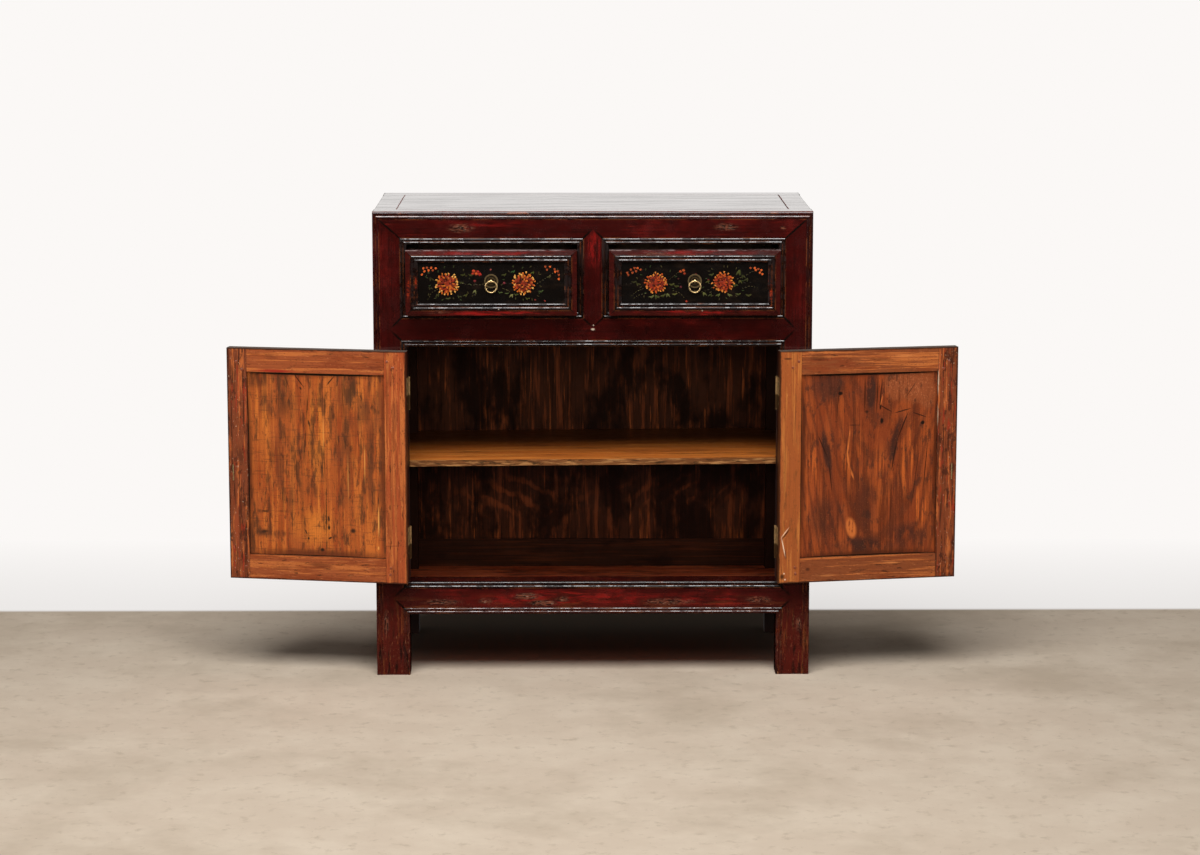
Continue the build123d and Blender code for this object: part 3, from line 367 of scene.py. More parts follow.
# Oxblood lacquer on elm, brushed over a black ground and rubbed with oil: deep and glassy in the
# fields, black on the beads, worn through to orange-brown wood along edges and grooves
redLacquer = {
    "ground": "#370a08", "relief": 0.4, "strength": 0.35, "roughness": (0.16, 0.32),
    "coat": 0.9, "coatRoughness": 0.05, "coatIor": 1.8,
    "layers": [
        Layer("#5c120e", 150, 110, 0.5, 0.72),
        Layer("#1e0705", 130, 2.6, 0.46, 0.72, 0.85, height=0.35),
        Layer("#7a1c12", 60, 3.2, 0.6, 0.74, 0.5),
        Layer("#220705", 30, 16, 0.53, 0.68, 0.6, height=2.0),
        Layer("#8e1714", 50, 9, 0.42, 0.66, within="crimson"),
        Layer("#0f0a08", within="beads", share=0.9),
        Layer("#3a1a0e", 60, 5, 0.52, 0.7, 0.7, within="beads"),
        Layer("#7c4020", 55, 30, 0.42, 0.58, 0.55, within="grooves"),
        Layer("#8c4822", 30, 12, 0.58, 0.68, 0.5, within="rim"),
        Layer("#5a2c16", 4, 4, 0.66, 0.74, 0.55, height=0.12),
        Layer("#5a1c12", within="low", share=0.5),
        Layer("#74401f", 90, 7, 0.54, 0.62, 0.6, within="low"),
        Layer("#1c0e0a", 44, 7, 0.53, 0.61, 0.8, within="low"),
        Layer("#9a6a4a", 14, 2, 0.61, 0.66, 0.6, within="low"),
        Layer("#1d100c", 26, 9, 0.36, 0.5, within="scuffs"),
        Layer("#74402e", 12, 2.6, 0.48, 0.56, within="scuffs"),
        Layer("#8c7666", 7, 2, 0.57, 0.62, 0.6, within="scuffs"),
        Layer("#0e0806", 40, 40, 0.3, 0.42, 0.9, within="joints", height=0.0),
        Layer("#c8b8a4", within="chips"),
    ],
    "marks": {
        "scuffs": [
            (-257, 893, 34, 12, 0.9), (260, 895, 30, 10, 0.9), (371, 893, 8, 5, 0.9, 20),
            (-131, 160, 34, 9, 1.4), (-99, 146, 36, 8, 1.4), (-214, 150, 18, 7, 1.2),
            (-411, 104, 7, 34, 0.8), (409, 102, 8, 20, 0.9), (-60, 154, 20, 8, 0.8),
            (150, 148, 70, 9, 0.9), (-300, 148, 50, 8, 0.8), (330, 152, 34, 9),
        ],
        "crimson": [
            (4, 850, 28, 44), (-40, 152, 260, 30, 0.8), (230, 150, 160, 26, 0.6),
            (-200, 905, 120, 16, 0.4), (395, 500, 18, 130, 0.3),
        ],
        "chips": [(0, 694, 5, 3), (1, 702, 2, 2, 0.7)],
        "joints": jointOvals,
    },
}

# The beads, measured in m from the edge that they follow, and the dull runs in their shine
beadLines = {
    "waver": 0.005, "middle": 0.0025, "black": (2.3, 1.8),  # in bead widths
    "groove": (0.0015, 0.0004), "rim": (0.003, 0.0008),
    "dullNoise": ((16, 16, 16), 3.0, 0.6, 8.8), "dullRange": (0.46, 0.54), "dullRoughness": 0.42,
}
wornCoat = 0.05


def bandMasks(add, band, bead, waver):
    # masks that follow the distance from the nearest beaded edge
    rough = add("Math MULTIPLY_ADD", waver, beadLines["waver"], band)
    outer, inner = [width * bead * mm + beadLines["middle"] for width in beadLines["black"]]
    grooves = None
    for step in (1, 2):
        aside = add("Math ABSOLUTE", add("Math SUBTRACT", band, step * bead * mm))
        grooves = add("Math MINIMUM", grooves, aside) if grooves else aside
    return {
        "beads": add("MapRange SMOOTHSTEP", rough, outer, inner),
        "grooves": add("MapRange SMOOTHSTEP", grooves, *beadLines["groove"]),
        "rim": add("MapRange SMOOTHSTEP", band, *beadLines["rim"]),
    }


def brokenShine(add, point, look, beads, coat):
    # on the beads the coat is rubbed away in places, so that they shine in broken runs
    rubbed = patches(add, point, *beadLines["dullNoise"])
    rubbed = add("MapRange SMOOTHSTEP", rubbed, *beadLines["dullRange"])
    rubbed = add("Math MULTIPLY", rubbed, beads)
    roughness = add("Mix", rubbed, look[1], beadLines["dullRoughness"])
    return (look[0], roughness, look[2]), add("Mix", rubbed, coat, wornCoat)


# The top boards: darkened by oil, with long brush marks; the joints between them and the rails
# round them and the front edge are worn red. Distances are in m.
topSettings = {
    "oiled": ("#33201a", "#180c08"), "oiledNoise": ((200, 26, 26), 6.0, 0.7, 2.2),
    "oiledRange": (0.4, 0.62), "roughness": (0.42, 0.66, 0.12, 0.4),
    "brushedNoise": ((300, 14, 14), 4.0, 0.6, 4.4), "brushedHeight": 0.5,
    "worn": "#5c2014", "wornRoughness": 0.9, "edge": (0.023, 0.020), "edgeWaver": 0.024,
    "seam": (0.0015, 0.0006), "seamAside": 0.002, "seamWaver": 0.004,
    "skin": 0.5,  # how far down the top face is taken to reach, in mm
}
# Wear of the other faces: the part of the black that the outer beads keep, where the fields and
# the worn feet start and are full in m, the thin coat on the rims, and the painted shade inside
caseWear = {
    "outerBeads": 0.55, "field": (0.014, 0.02), "low": (0.17, 0.09), "rimCoat": 0.3,
    "paintedShade": ("#120a07", "#341c11"), "shadedRoughness": 0.6,
}


def topLook(add, point, waver, fromFront):
    # the look of the top boards, their tone, and where they are worn
    split = add("SeparateXYZ", point)
    tone = patches(add, point, *topSettings["oiledNoise"])
    oiled = add("MapRange", tone, *topSettings["oiledRange"])
    boards = add("Mix RGBA", oiled, *topSettings["oiled"])
    brushed = patches(add, point, *topSettings["brushedNoise"])
    brushed = add("Math MULTIPLY", brushed, topSettings["brushedHeight"])
    dull = add("MapRange", tone, *topSettings["roughness"])
    fromEdge = add("Math MULTIPLY_ADD", waver, topSettings["edgeWaver"], fromFront)
    edge = add("MapRange", fromEdge, *topSettings["edge"])
    flat = add("CombineXYZ", split.outputs[0], 0.0, split.outputs[1])
    seam = boxDistance(add, flat, [caseLines["boards"]])
    seam = add("Math MULTIPLY_ADD", waver, topSettings["seamWaver"], seam)
    seam = add("Math ABSOLUTE", add("Math SUBTRACT", seam, topSettings["seamAside"]))
    worn = add("Math MAXIMUM", edge, add("MapRange", seam, *topSettings["seam"]))
    boards = add("Mix RGBA", worn, boards, topSettings["worn"])
    return (boards, add("Mix", worn, dull, topSettings["wornRoughness"]), brushed), tone, worn


def caseFinish(name, along, settings, beaded=True):
    material, add, point = newMaterial(name)
    split = add("SeparateXYZ", point)
    sideways = add("CombineXYZ", split.outputs[1], 0.0, split.outputs[2])
    width = add("Math ABSOLUTE", split.outputs[0])
    onSide = add("Math GREATER_THAN", width, (caseLines["half"] - caseLines["eased"]) * mm)
    fromSide = add("Math SUBTRACT", caseLines["half"] * mm, width)
    fromFront = add("Math SUBTRACT", split.outputs[1], caseLines["front"] * mm)
    topEdge = (caseLines["top"] - caseLines["eased"]) * mm
    fromTop = add("Math SUBTRACT", topEdge, split.outputs[2])
    opening = add(
        "Mix", onSide, boxDistance(add, point, caseLines["frontOpenings"]),
        boxDistance(add, sideways, caseLines["sideOpenings"]),
    )
    band = add("Mix", onSide, fromSide, fromFront)
    for other in (fromTop, opening):
        band = add("Math MINIMUM", other, band)
    if not beaded:
        band = add("Math MAXIMUM", band, 1.0)
    waver = patches(add, point, finishSettings["waver"])
    masks = bandMasks(add, band, caseLines["bead"], waver)
    outer = add("Math GREATER_THAN", opening, band)
    outer = add("MapRange", outer, 0.0, 1.0, 1.0, caseWear["outerBeads"])
    masks["beads"] = add("Math MULTIPLY", masks["beads"], outer)
    face = (caseLines["front"] + caseLines["faceDepth"]) * mm
    onFront = add("Math LESS_THAN", split.outputs[1], face)
    onFace = add("Math MAXIMUM", onFront, onSide)
    for mask in masks:
        masks[mask] = add("Math MULTIPLY", masks[mask], onFace)
    for mark, places in settings["marks"].items():
        masks[mark] = add("Math MULTIPLY", ovals(add, point, places), onFront)
    inField = add("MapRange", band, *caseWear["field"])
    masks["crimson"] = add("Math MULTIPLY", masks["crimson"], inField)
    masks["low"] = add("MapRange", split.outputs[2], *caseWear["low"])
    look = glaze(add, point, along, {**settings, "marks": {}}, masks)
    look, coat = brokenShine(add, point, look, masks["beads"], settings["coat"])
    coat = add("Mix", masks["rim"], coat, caseWear["rimCoat"])
    top, tone, worn = topLook(add, point, waver, fromFront)
    topFace = (caseLines["top"] - topSettings["skin"]) * mm
    onTop = add("Math GREATER_THAN", split.outputs[2], topFace)
    coat = add("Mix", add("Math MULTIPLY", worn, onTop), coat, wornCoat)
    colour, roughness, height = blendLooks(add, onTop, look, top)
    # painted shade: the faces inside the case and the back legs are darkened near black, without
    # coat
    inside = 0.0
    for low, high in caseLines["insides"]:
        inside = add("Math MAXIMUM", insideBox(add, point, low, high), inside)
    colour = add("Mix RGBA", inside, colour, add("Mix RGBA", tone, *caseWear["paintedShade"]))
    roughness = add("Mix", inside, roughness, caseWear["shadedRoughness"])
    coat = add("Mix", inside, coat, 0.0)
    finish(add, (colour, roughness, height), settings, coat)
    return material


# Drawer fronts: a sloping red band, two black beads, and the painted ground inside them
drawerLines = {
    "low": 728.3, "high": 855.8, "near": 31.25, "far": 363.25, "bevel": 10.0, "bead": 7.0,
    # in mm below the top: where the painted highlight on the upper lip starts and where it is full
    "highlightLip": (1.7, 1.1), "shift": 2.4,
    "mitres": [
        ((32, 855), (55, 832)), ((363, 855), (339, 832)), ((32, 729), (55, 752)),
        ((363, 729), (339, 752)),
    ],
}
drawerLacquer = {
    **redLacquer, "ground": "#3a0f0b",
    "marks": {
        "crimson": [
            (-200, 734, 170, 8), (190, 734, 170, 8), (-200, 850, 150, 7, 0.6),
            (200, 850, 150, 7, 0.6),
        ],
        "scuffs": [(-300, 735, 30, 5, 0.5), (120, 849, 30, 5, 0.5)],
        "chips": [(-183, 741, 1.8, 1.5), (212, 738, 1.5, 1.5)],
        "joints": [
            lineOval((facing * x0, z0), (facing * x1, z1), 1.6)
            for (x0, z0), (x1, z1) in drawerLines["mitres"] for facing in (-1, 1)
        ],
        "worn": [
            (-358, 780, 4, 30, 0.9), (-343, 792, 3, 16, 0.7), (345, 770, 4, 34, 0.9),
            (338, 800, 3, 26, 0.6),
        ],
    },
    "layers": redLacquer["layers"] + [
        Layer("#962f14", 30, 5, 0.42, 0.6, within="worn"),
        # painted highlight along the upper lip of the front
        Layer("#8a7674", 34, 34, 0.42, 0.56, 0.85, within="highlightLip"),
    ],
}


def drawerFinish(name, settings):
    material, add, point = newMaterial(name)
    outline = [drawerLines[edge] for edge in ("near", "far", "low", "high")]
    outside = boxDistance(add, add("VectorMath ABSOLUTE", point), [outline])
    width = (drawerLines["bevel"] + 2 * drawerLines["bead"]) * mm
    band = add("Math ADD", outside, width)
    masks = bandMasks(add, band, drawerLines["bead"], patches(add, point, finishSettings["waver"]))
    masks["low"] = 0.0
    # painted highlight: the upper lip of the front is painted pale grey, as if lit along its edge
    up = add("SeparateXYZ", point).outputs[2]
    highlightLip = [(drawerLines["high"] - drop) * mm for drop in drawerLines["highlightLip"]]
    masks["highlightLip"] = add("MapRange", up, *highlightLip)
    look = glaze(add, point, "X", settings, masks, drawerLines["shift"])
    look, coat = brokenShine(add, point, look, masks["beads"], settings["coat"])
    finish(add, look, settings, coat)
    return material


# Black lacquer under painted flowers, with a soft oily shine and fine age cracks
blackLacquer = {
    "ground": "#0d0907", "relief": 0.25, "strength": 0.25, "coat": 0.4, "coatRoughness": 0.12,
    "roughness": (0.2, 0.3),
    "layers": [
        Layer("#1d140e", 40, 22, 0.5, 0.74),
        Layer("#26180f", 30, 2, 0.6, 0.74, 0.5, height=0.4),
        Layer("#2a1c12", 4, 4, 0.62, 0.76, 0.5, height=0.3),
    ],
}

# Pine boards stained and shellacked on the inner faces of the doors: orange, with grey-brown
# smudges of old handling, and a low satin shine
bareWood = {"relief": 0.3, "strength": 0.5, "ior": 1.4, "roughness": (0.28, 0.42)}
leftPanel = {
    **bareWood, "ground": "#a04f22",
    "layers": [
        Layer("#c0682a", 300, 10, 0.49, 0.57, 0.75),
        Layer("#883718", 230, 15, 0.52, 0.6, 0.65),
        Layer("#cb742a", 220, 12, 0.36, 0.5, 0.85, within="bright"),
        Layer("#6e3c1c", 240, 1.8, 0.52, 0.62, 0.4, height=0.6),
        Layer("#4e2d1c", 100, 13, 0.4, 0.56, 0.85, within="shaded"),
        Layer("#402a1b", 52, 12, 0.52, 0.64, 0.7),
        Layer("#3a2419", 22, 5, 0.57, 0.64, 0.6),
        Layer("#4a2d1e", 34, 3, 0.56, 0.64, 0.45, along="X"),
        Layer("#d67f30", 90, 2.4, 0.61, 0.67, 0.5),
        Layer("#3e2416", 2.6, 1.8, 0.58, 0.64, 0.45, height=0.2),
        # painted shade along the panel's edges, next to the frame
        Layer("#5a2b16", within="edgeShade", share=0.85),
        Layer("#2f1a0e", within="figure"),
        # knots, and painted shadow lines along the panel's edges
        Layer("#1c1a14", within="knots"),
        Layer("#e09a4c", within="ticks", share=0.85),
    ],
    "marks": {
        "bright": [
            (182, 490, 26, 150, 0.9), (186, 300, 60, 50, 0.8), (285, 480, 16, 90, 0.5),
            (110, 560, 26, 36, 0.4),
        ],
        "shaded": [
            (300, 600, 60, 34), (90, 560, 70, 90, 0.85), (262, 550, 60, 50, 0.8),
            (64, 430, 26, 150, 0.9), (252, 420, 36, 100, 0.6), (126, 430, 24, 120, 0.7),
            (170, 425, 11, 50), (190, 478, 10, 34), (290, 286, 34, 11), (262, 284, 28, 10, 0.9),
            (292, 329, 26, 6, 0.9), (236, 356, 16, 40, 0.6), (186, 372, 9, 22, 0.8),
        ],
        # painted shade along the panel's edges, next to the frame
        "edgeShade": [
            (182, 244, 190, 17), (182, 612, 190, 14, 0.9), (320, 425, 12, 230, 0.9),
            (46, 425, 8, 230, 0.9), (304, 590, 44, 22, 0.5),
        ],
        "figure": [
            (215, 592, 1.8, 25, 1.0, 37), (199, 541, 1.6, 33, 1.0, -3),
            (204, 470, 1.4, 45, 0.8, -4), (151, 594, 1.8, 18, 1.0, -40),
            (163, 548, 1.6, 40, 0.9, -2), (166, 440, 1.4, 66, 0.8, 2), (163, 330, 1.5, 80, 0.9),
            (240, 590, 1.4, 20, 0.7, 20), (127, 560, 1.3, 60, 0.7, 3), (222, 400, 1.2, 90, 0.5, 2),
        ],
        # the first three: painted shadow lines at the top and bottom edges and by the meeting stile
        "knots": [
            (182, 605.2, 160, 2.6, 3.0), (182, 242.4, 150, 1.6, 1.6), (319.4, 425, 1.5, 190, 1.6),
            (158, 300, 4, 6), (156, 279, 6, 3, 1.0, 30), (172, 255, 6, 5), (109, 295, 8, 7, 0.9),
            (200, 277, 3, 4), (205, 290, 2, 9, 0.9, 25), (158, 318, 2.4, 8, 0.9), (289, 329, 9, 2),
            (196, 508, 3, 10, 0.9, 15), (212, 577, 3, 5, 0.9, 30), (163, 264, 1.6, 16, 0.9),
            (290, 288, 10, 4, 0.7, 10),
        ],
        "ticks": [
            (57, 315, 2, 42), (58, 262, 3, 5, 0.8), (84, 430, 1.6, 50, 0.7), (167, 490, 2, 50, 0.6),
            (118, 400, 1.6, 60, 0.5),
        ],
    },
}
rightPanel = {
    **bareWood, "ground": "#7e3719",
    "layers": [
        Layer("#95451e", 240, 30, 0.49, 0.56, 0.85),
        Layer("#5a2814", 220, 16, 0.52, 0.58, 0.7),
        Layer("#552817", within="cathedral", share=0.5),
        Layer("#874424", within="arch", share=0.85),
        Layer("#a05c38", 4, 3, 0.54, 0.62, 0.6, within="arch", height=0.2),
        Layer("#41231a", 80, 30, 0.36, 0.5, 0.8, within="shaded"),
        Layer("#b25622", 150, 7, 0.5, 0.56, 0.9, within="bright"),
        Layer("#451f10", 200, 1.8, 0.52, 0.6, 0.55, height=0.6),
        Layer("#33211a", 30, 12, 0.57, 0.63, 0.55),
        Layer("#a8643a", 2.4, 2.4, 0.59, 0.65, 0.45, height=0.2),
        Layer("#341a10", 3.4, 2.0, 0.58, 0.64, 0.55),
        Layer("#2a140c", within="figure", share=0.8),
        Layer("#b8622c", within="ticks"),
        Layer("#82401c", 30, 4, 0.5, 0.6, 0.7, within="ticks"),
        # painted shade along the panel's edges, next to the frame
        Layer("#45200f", within="edgeShade", share=0.8),
        # knots, and painted shadow lines along the panel's edges
        Layer("#1c120c", within="knots"),
    ],
    "marks": {
        "arch": [(270, 588, 50, 52, 3.0), (232, 590, 26, 46, 3.0), (300, 560, 22, 34, 3.0)],
        "shaded": [
            (184, 570, 13, 46, 2.5), (100, 584, 56, 44, 0.9), (176, 340, 28, 80, 0.7),
            (96, 320, 50, 60, 0.8), (174, 262, 90, 26, 1.3), (232, 460, 12, 90, 1.6, 14),
            (262, 280, 64, 34), (96, 450, 12, 60, 1.6, -10),
        ],
        "bright": [
            (66, 424, 24, 60), (290, 340, 20, 60, 1.5), (262, 430, 22, 100, 1.2, 8),
            (208, 400, 30, 90, 0.8), (147, 440, 34, 90, 0.8), (302, 470, 12, 60),
            (60, 330, 10, 60, 0.7),
        ],
        "figure": [
            (204, 560, 1.6, 34, 2.0, 4), (214, 536, 20, 1.5, 2.0, 30),
            (250, 530, 24, 1.5, 2.0, -14), (284, 521, 20, 1.5, 2.0, 20), (172, 566, 1.6, 44, 1.6),
            (197, 560, 1.5, 50, 1.4, 2), (250, 500, 1.8, 40, 1.8, 22), (233, 440, 1.6, 42, 1.6, 10),
            (228, 350, 1.5, 60, 1.2), (298, 420, 1.4, 90, 1.2, 5), (278, 400, 1.3, 90, 1.0, 7),
            (88, 462, 1.6, 36, 1.6, -24), (104, 400, 1.5, 44, 1.3, -6), (118, 556, 1.3, 44, 1.0, 4),
            (266, 572, 1.3, 30, 1.0, 34),
        ],
        "ticks": [
            (140, 470, 2.4, 34, 1.5, 6), (139, 436, 2.6, 24, 2.0, -6),
            (147, 408, 2.4, 16, 1.5, -20), (147, 298, 13, 26, 2.0, -12),
            (206, 552, 1.6, 14, 1.0, 12),
        ],
        # the first three: painted shadow lines at the top and bottom edges and by the hinge stile
        "knots": [
            (182, 605.2, 160, 2.6, 3.0), (182, 242.8, 150, 2.2, 3.0), (42.8, 425, 1.6, 190, 3.0),
            (207, 511, 4, 8, 1.5), (291, 505, 5, 5, 2.0), (122, 568, 6, 5, 1.5), (186, 236, 3, 2),
            (204, 538, 2, 6, 1.5), (176, 530, 6, 4, 0.8), (150, 504, 14, 2, 0.6),
        ],
        # painted shade along the panel's edges, next to the frame
        "edgeShade": [
            (182, 243, 200, 13), (182, 612, 200, 12, 0.9), (46, 425, 9, 230, 0.9),
            (318, 425, 6, 230, 0.7),
        ],
    },
}
# Stiles and rails of the doors: the same stain, worn streaky, and darker where hands rubbed them
stileLayers = [
    Layer("#bc6a34", 240, 9, 0.49, 0.56, 0.75),
    Layer("#6e3018", 200, 2.0, 0.5, 0.6, 0.7, height=0.7),
    Layer("#7a3519", 110, 14, 0.52, 0.6, 0.65),
    Layer("#3c1d10", 24, 5, 0.6, 0.66, 0.75),
    Layer("#40220f", 5, 1.8, 0.58, 0.64, 0.6, height=0.3),
    Layer("#cc8250", 16, 2.0, 0.62, 0.67, 0.55),
]
rubbedLayers = [
    Layer("#3a1c11", 110, 3.2, 0.51, 0.59, 0.8, height=0.8),
    Layer("#b4602f", 90, 6, 0.54, 0.6, 0.8),
    Layer("#341a12", 22, 10, 0.54, 0.61, 0.7),
    Layer("#9a2a16", 40, 5, 0.57, 0.63, 0.6),
    Layer("#ccaa8c", 5, 2.2, 0.64, 0.69, 0.8, height=0.5),
]
leftHingeStile = {
    **bareWood, "ground": "#9c4824",
    "layers": stileLayers + [Layer("#5c2a18", within="knots", share=0.6)],
    "marks": {
        "knots": [
            (29, 268, 22, 2, 0.8, 4), (20, 530, 10, 40, 0.7), (30, 600, 8, 20, 0.5),
            (42, 380, 4, 90, 0.5),
        ],
    },
}
leftMeetingStile = {
    **bareWood, "ground": "#753a21", "layers": rubbedLayers + [
        Layer("#2e1a12", within="knots", share=0.9),
        Layer("#c0532a", within="ticks", share=0.6),
    ],
    "marks": {
        "knots": [
            (352, 414, 7, 12, 0.9), (336, 440, 12, 26, 0.5, 20), (350, 600, 8, 30, 0.5),
            (318, 330, 3, 70, 0.6, 4),
        ],
        "ticks": [(324, 520, 2, 26, 0.9), (323, 560, 2, 14, 0.7), (345, 300, 8, 50, 0.4)],
    },
}
leftRails = {
    **bareWood, "ground": "#924a27", "layers": stileLayers + [
        Layer("#5a2816", within="knots", share=0.7),
        Layer("#8c1d16", within="ticks", share=0.6),
    ],
    "marks": {
        "knots": [
            (176, 224, 36, 8, 0.9, -4), (60, 622, 24, 6, 0.6), (270, 640, 20, 10, 0.5),
            (256, 216, 30, 6, 0.5, 6),
        ],
        "ticks": [(262, 611, 60, 4, 1.5)],
    },
}
rightHingeStile = {
    **bareWood, "ground": "#984f25", "layers": [
        Layer("#b26a31", 260, 12, 0.48, 0.58),
        Layer("#8c4a22", 240, 2.2, 0.5, 0.6, 0.65, height=0.5),
        Layer("#70401f", 60, 9, 0.57, 0.65, 0.65),
        Layer("#4e2c18", 6, 2, 0.6, 0.66, 0.6, height=0.3),
        Layer("#cf8a4e", 10, 3, 0.62, 0.68, 0.6),
        Layer("#3e2112", within="knots"),
        Layer("#e8cdb0", within="ticks", share=0.8),
    ],
    "marks": {
        "knots": [
            (13, 291, 1.8, 19, 1.0, 38), (12, 250, 1.8, 14, 0.9), (6, 206, 6, 8, 0.9),
            (30, 520, 1.4, 60, 0.5, 1), (14, 640, 12, 3, 0.8), (10, 420, 1.6, 90, 0.5),
        ],
        "ticks": [
            (8, 266, 1.6, 26, 1.0, -12), (11, 294, 1.2, 18, 1.0, 38),
            (10, 212, 2.2, 2.2), (12, 200, 2.4, 2.4),
        ],
    },
}
rightMeetingStile = {
    **bareWood, "ground": "#783a1f", "layers": rubbedLayers + [
        Layer("#2a1810", within="knots", share=0.85),
        Layer("#d8c0a4", 16, 3, 0.36, 0.52, within="ticks"),
    ],
    "marks": {
        "knots": [
            (352, 414, 9, 16, 0.8), (330, 330, 4, 60, 0.6, 4), (345, 560, 3, 60, 0.5, -3),
            (350, 230, 8, 20, 0.6),
        ],
        "ticks": [(320, 590, 2.2, 40), (320, 520, 1.6, 30, 0.8), (319, 350, 1.4, 60, 0.5)],
    },
}
rightRails = {
    **bareWood, "ground": "#7e4223", "layers": stileLayers + [
        Layer("#3a1c10", within="knots", share=0.8),
        Layer("#c87c44", within="ticks", share=0.7),
    ],
    "marks": {
        "knots": [
            (58, 219, 7, 5, 0.9), (216, 209, 12, 3, 0.9, 14), (160, 212, 22, 4, 0.5, -8),
            (76, 640, 26, 8, 0.6), (200, 634, 40, 5, 0.5, 4),
        ],
        "ticks": [(230, 226, 22, 3, 0.8, 3), (100, 205, 30, 3, 0.6), (250, 640, 30, 4, 0.6)],
    },
}
doorPieces = {
    "left": {
        "panel": leftPanel, "hinge_stile": leftHingeStile, "meeting_stile": leftMeetingStile,
        "rails": leftRails,
    },
    "right": {
        "panel": rightPanel, "hinge_stile": rightHingeStile,
        "meeting_stile": rightMeetingStile, "rails": rightRails,
    },
}
# The doors' lacquer outside, rubbed duller than the case's
doorLacquer = {
    **redLacquer, "roughness": (0.3, 0.45),
    "layers": redLacquer["layers"] + [Layer("#1c0c08", within="edge", share=0.8)],
    "marks": {"scuffs": [(340, 640, 8, 20, 0.4)], "chips": [], "crimson": [], "joints": []},
}
leafLines = {
    "low": 192.5, "high": 655.0, "hinge": -1.5, "free": 360.0,
    "opening": (41.5, 320.5, 241.5, 608.0), "eased": 0.3, "shift": {"left": 1.0, "right": 21.0},
    "split": (12.0, 11.0),  # depths at which stain inside ends and lacquer outside is full
    # in m: where the painted shadow round the panel, the dark joints at the rails' shoulders and
    # the worn edges start and are full, and how much they waver
    "shadeAndJoint": (-0.0018, -0.0006), "shoulder": (0.0012, 0.0004, 0.8),
    "worn": (-0.0036, -0.0012), "waver": (0.006, -0.003),
    "layers": [
        # the painted shadow round the panel and the dark joints at the rails' shoulders, then the
        # worn edges
        Layer("#1c0e08", within="shadeAndJoint", share=0.9), Layer("#2a160f", within="edge", share=0.85),
    ],
    "dust": ("#54463c", "#3a2c24"),  # on the dry top edge
}
arches = {  # middle and spacing in mm, steepness, and the noise that makes them wobble
    "rightPanel": (205, 80, 0.02, ((90, 90, 140), 4.0, 0.55, 3.1)),
    "back": (-60, 34, 0.0016, ((90, 90, 140), 4.0, 0.55, 9.1)),
    "wobble": 0.11, "line": (0.1, 0.95),
}


def archFigure(add, point, middle, spacing, steepness, noise):
    # cathedral grain: nested curves that open upwards about a middle line
    split = add("SeparateXYZ", point)
    aside = add("Math ADD", split.outputs[0], -middle * mm)
    climb = add("Math MULTIPLY", aside, aside)
    rise = add("Math MULTIPLY_ADD", climb, -steepness * 1000, split.outputs[2])
    wobble = patches(add, point, *noise)
    rise = add("Math MULTIPLY_ADD", wobble, arches["wobble"], rise)
    wave = add("Math SINE", add("Math MULTIPLY", rise, 2 * math.pi / (spacing * mm)))
    return add("MapRange SMOOTHSTEP", wave, *arches["line"])


def leafMasks(add, leaf, across, fromPanel, waver, piece):
    # a painted shadow round the panel, the dark joints at the shoulders of the rails, and the worn
    # outer edges
    outline = [leafLines[line] for line in ("hinge", "free", "low", "high")]
    rough = add("Math MULTIPLY_ADD", waver, *leafLines["waver"])
    edge = add("Math ADD", boxDistance(add, leaf, [outline]), rough)
    masks = {"shadeAndJoint": 0.0, "edge": add("MapRange SMOOTHSTEP", edge, *leafLines["worn"])}
    if piece == "panel":
        masks["shadeAndJoint"] = add("MapRange", fromPanel, *leafLines["shadeAndJoint"])
    elif piece == "rails":
        near, far = [line * mm for line in leafLines["opening"][:2]]
        half = (far - near) / 2
        start, full, share = leafLines["shoulder"]
        fromEnds = add("Math ABSOLUTE", add("Math SUBTRACT", across, (near + far) / 2))
        masks["shadeAndJoint"] = add("MapRange", fromEnds, half - start, half - full, 0.0, share)
    return masks


def doorFinish(name, side, piece):
    material, add, point = newMaterial(name)
    hinge = joints[f"door_{side}_hinge"]
    facing = -1 if side == "right" else 1
    swing = math.radians(hinge["range_deg"][1])
    # leaf coordinates: X from the hinge to the free edge, Y through the door, Z up
    leaf = add(
        "Mapping TEXTURE", point, (*hinge["pos_m"][:2], 0), (0, 0, -facing * swing),
        (facing, 1, 1),
    )
    split = add("SeparateXYZ", leaf)
    across, through, up = split.outputs[0], split.outputs[1], split.outputs[2]
    settings = doorPieces[side][piece]
    settings = {**settings, "layers": settings["layers"] + leafLines["layers"]}
    waver = patches(add, leaf, finishSettings["waver"])
    fromPanel = boxDistance(add, leaf, [leafLines["opening"]])
    masks = leafMasks(add, leaf, across, fromPanel, waver, piece)
    if (side, piece) == ("right", "panel"):
        masks["cathedral"] = archFigure(add, leaf, *arches["rightPanel"])
    grain = "X" if piece == "rails" else "Z"
    bare = glaze(add, leaf, grain, settings, masks, leafLines["shift"][side])
    outerFace = caseLines["front"] * mm - hinge["pos_m"][1]
    depth = add("Math SUBTRACT", through, outerFace)
    outside = add("MapRange", depth, *(edge * mm for edge in leafLines["split"]))
    for place, edge in ((up, leafLines["high"]), (across, leafLines["free"])):
        onEdge = add("Math GREATER_THAN", place, (edge - leafLines["eased"]) * mm)
        outside = add("Math MAXIMUM", outside, onEdge)
    if piece == "panel":
        outer = glaze(add, leaf, "Z", blackLacquer)
    else:
        bands = bandMasks(add, fromPanel, caseLines["bead"], waver)
        outer = glaze(add, leaf, grain, doorLacquer, {**masks, **bands, "low": 0.0})
    colour, roughness, height = blendLooks(add, outside, bare, outer)
    onTop = add("Math GREATER_THAN", up, (leafLines["high"] - leafLines["eased"]) * mm)
    colour = add("Mix RGBA", onTop, colour, add("Mix RGBA", waver, *leafLines["dust"]))
    roughness = add("Mix", onTop, roughness, 1.0)
    finish(add, (colour, roughness, height), settings)
    return material


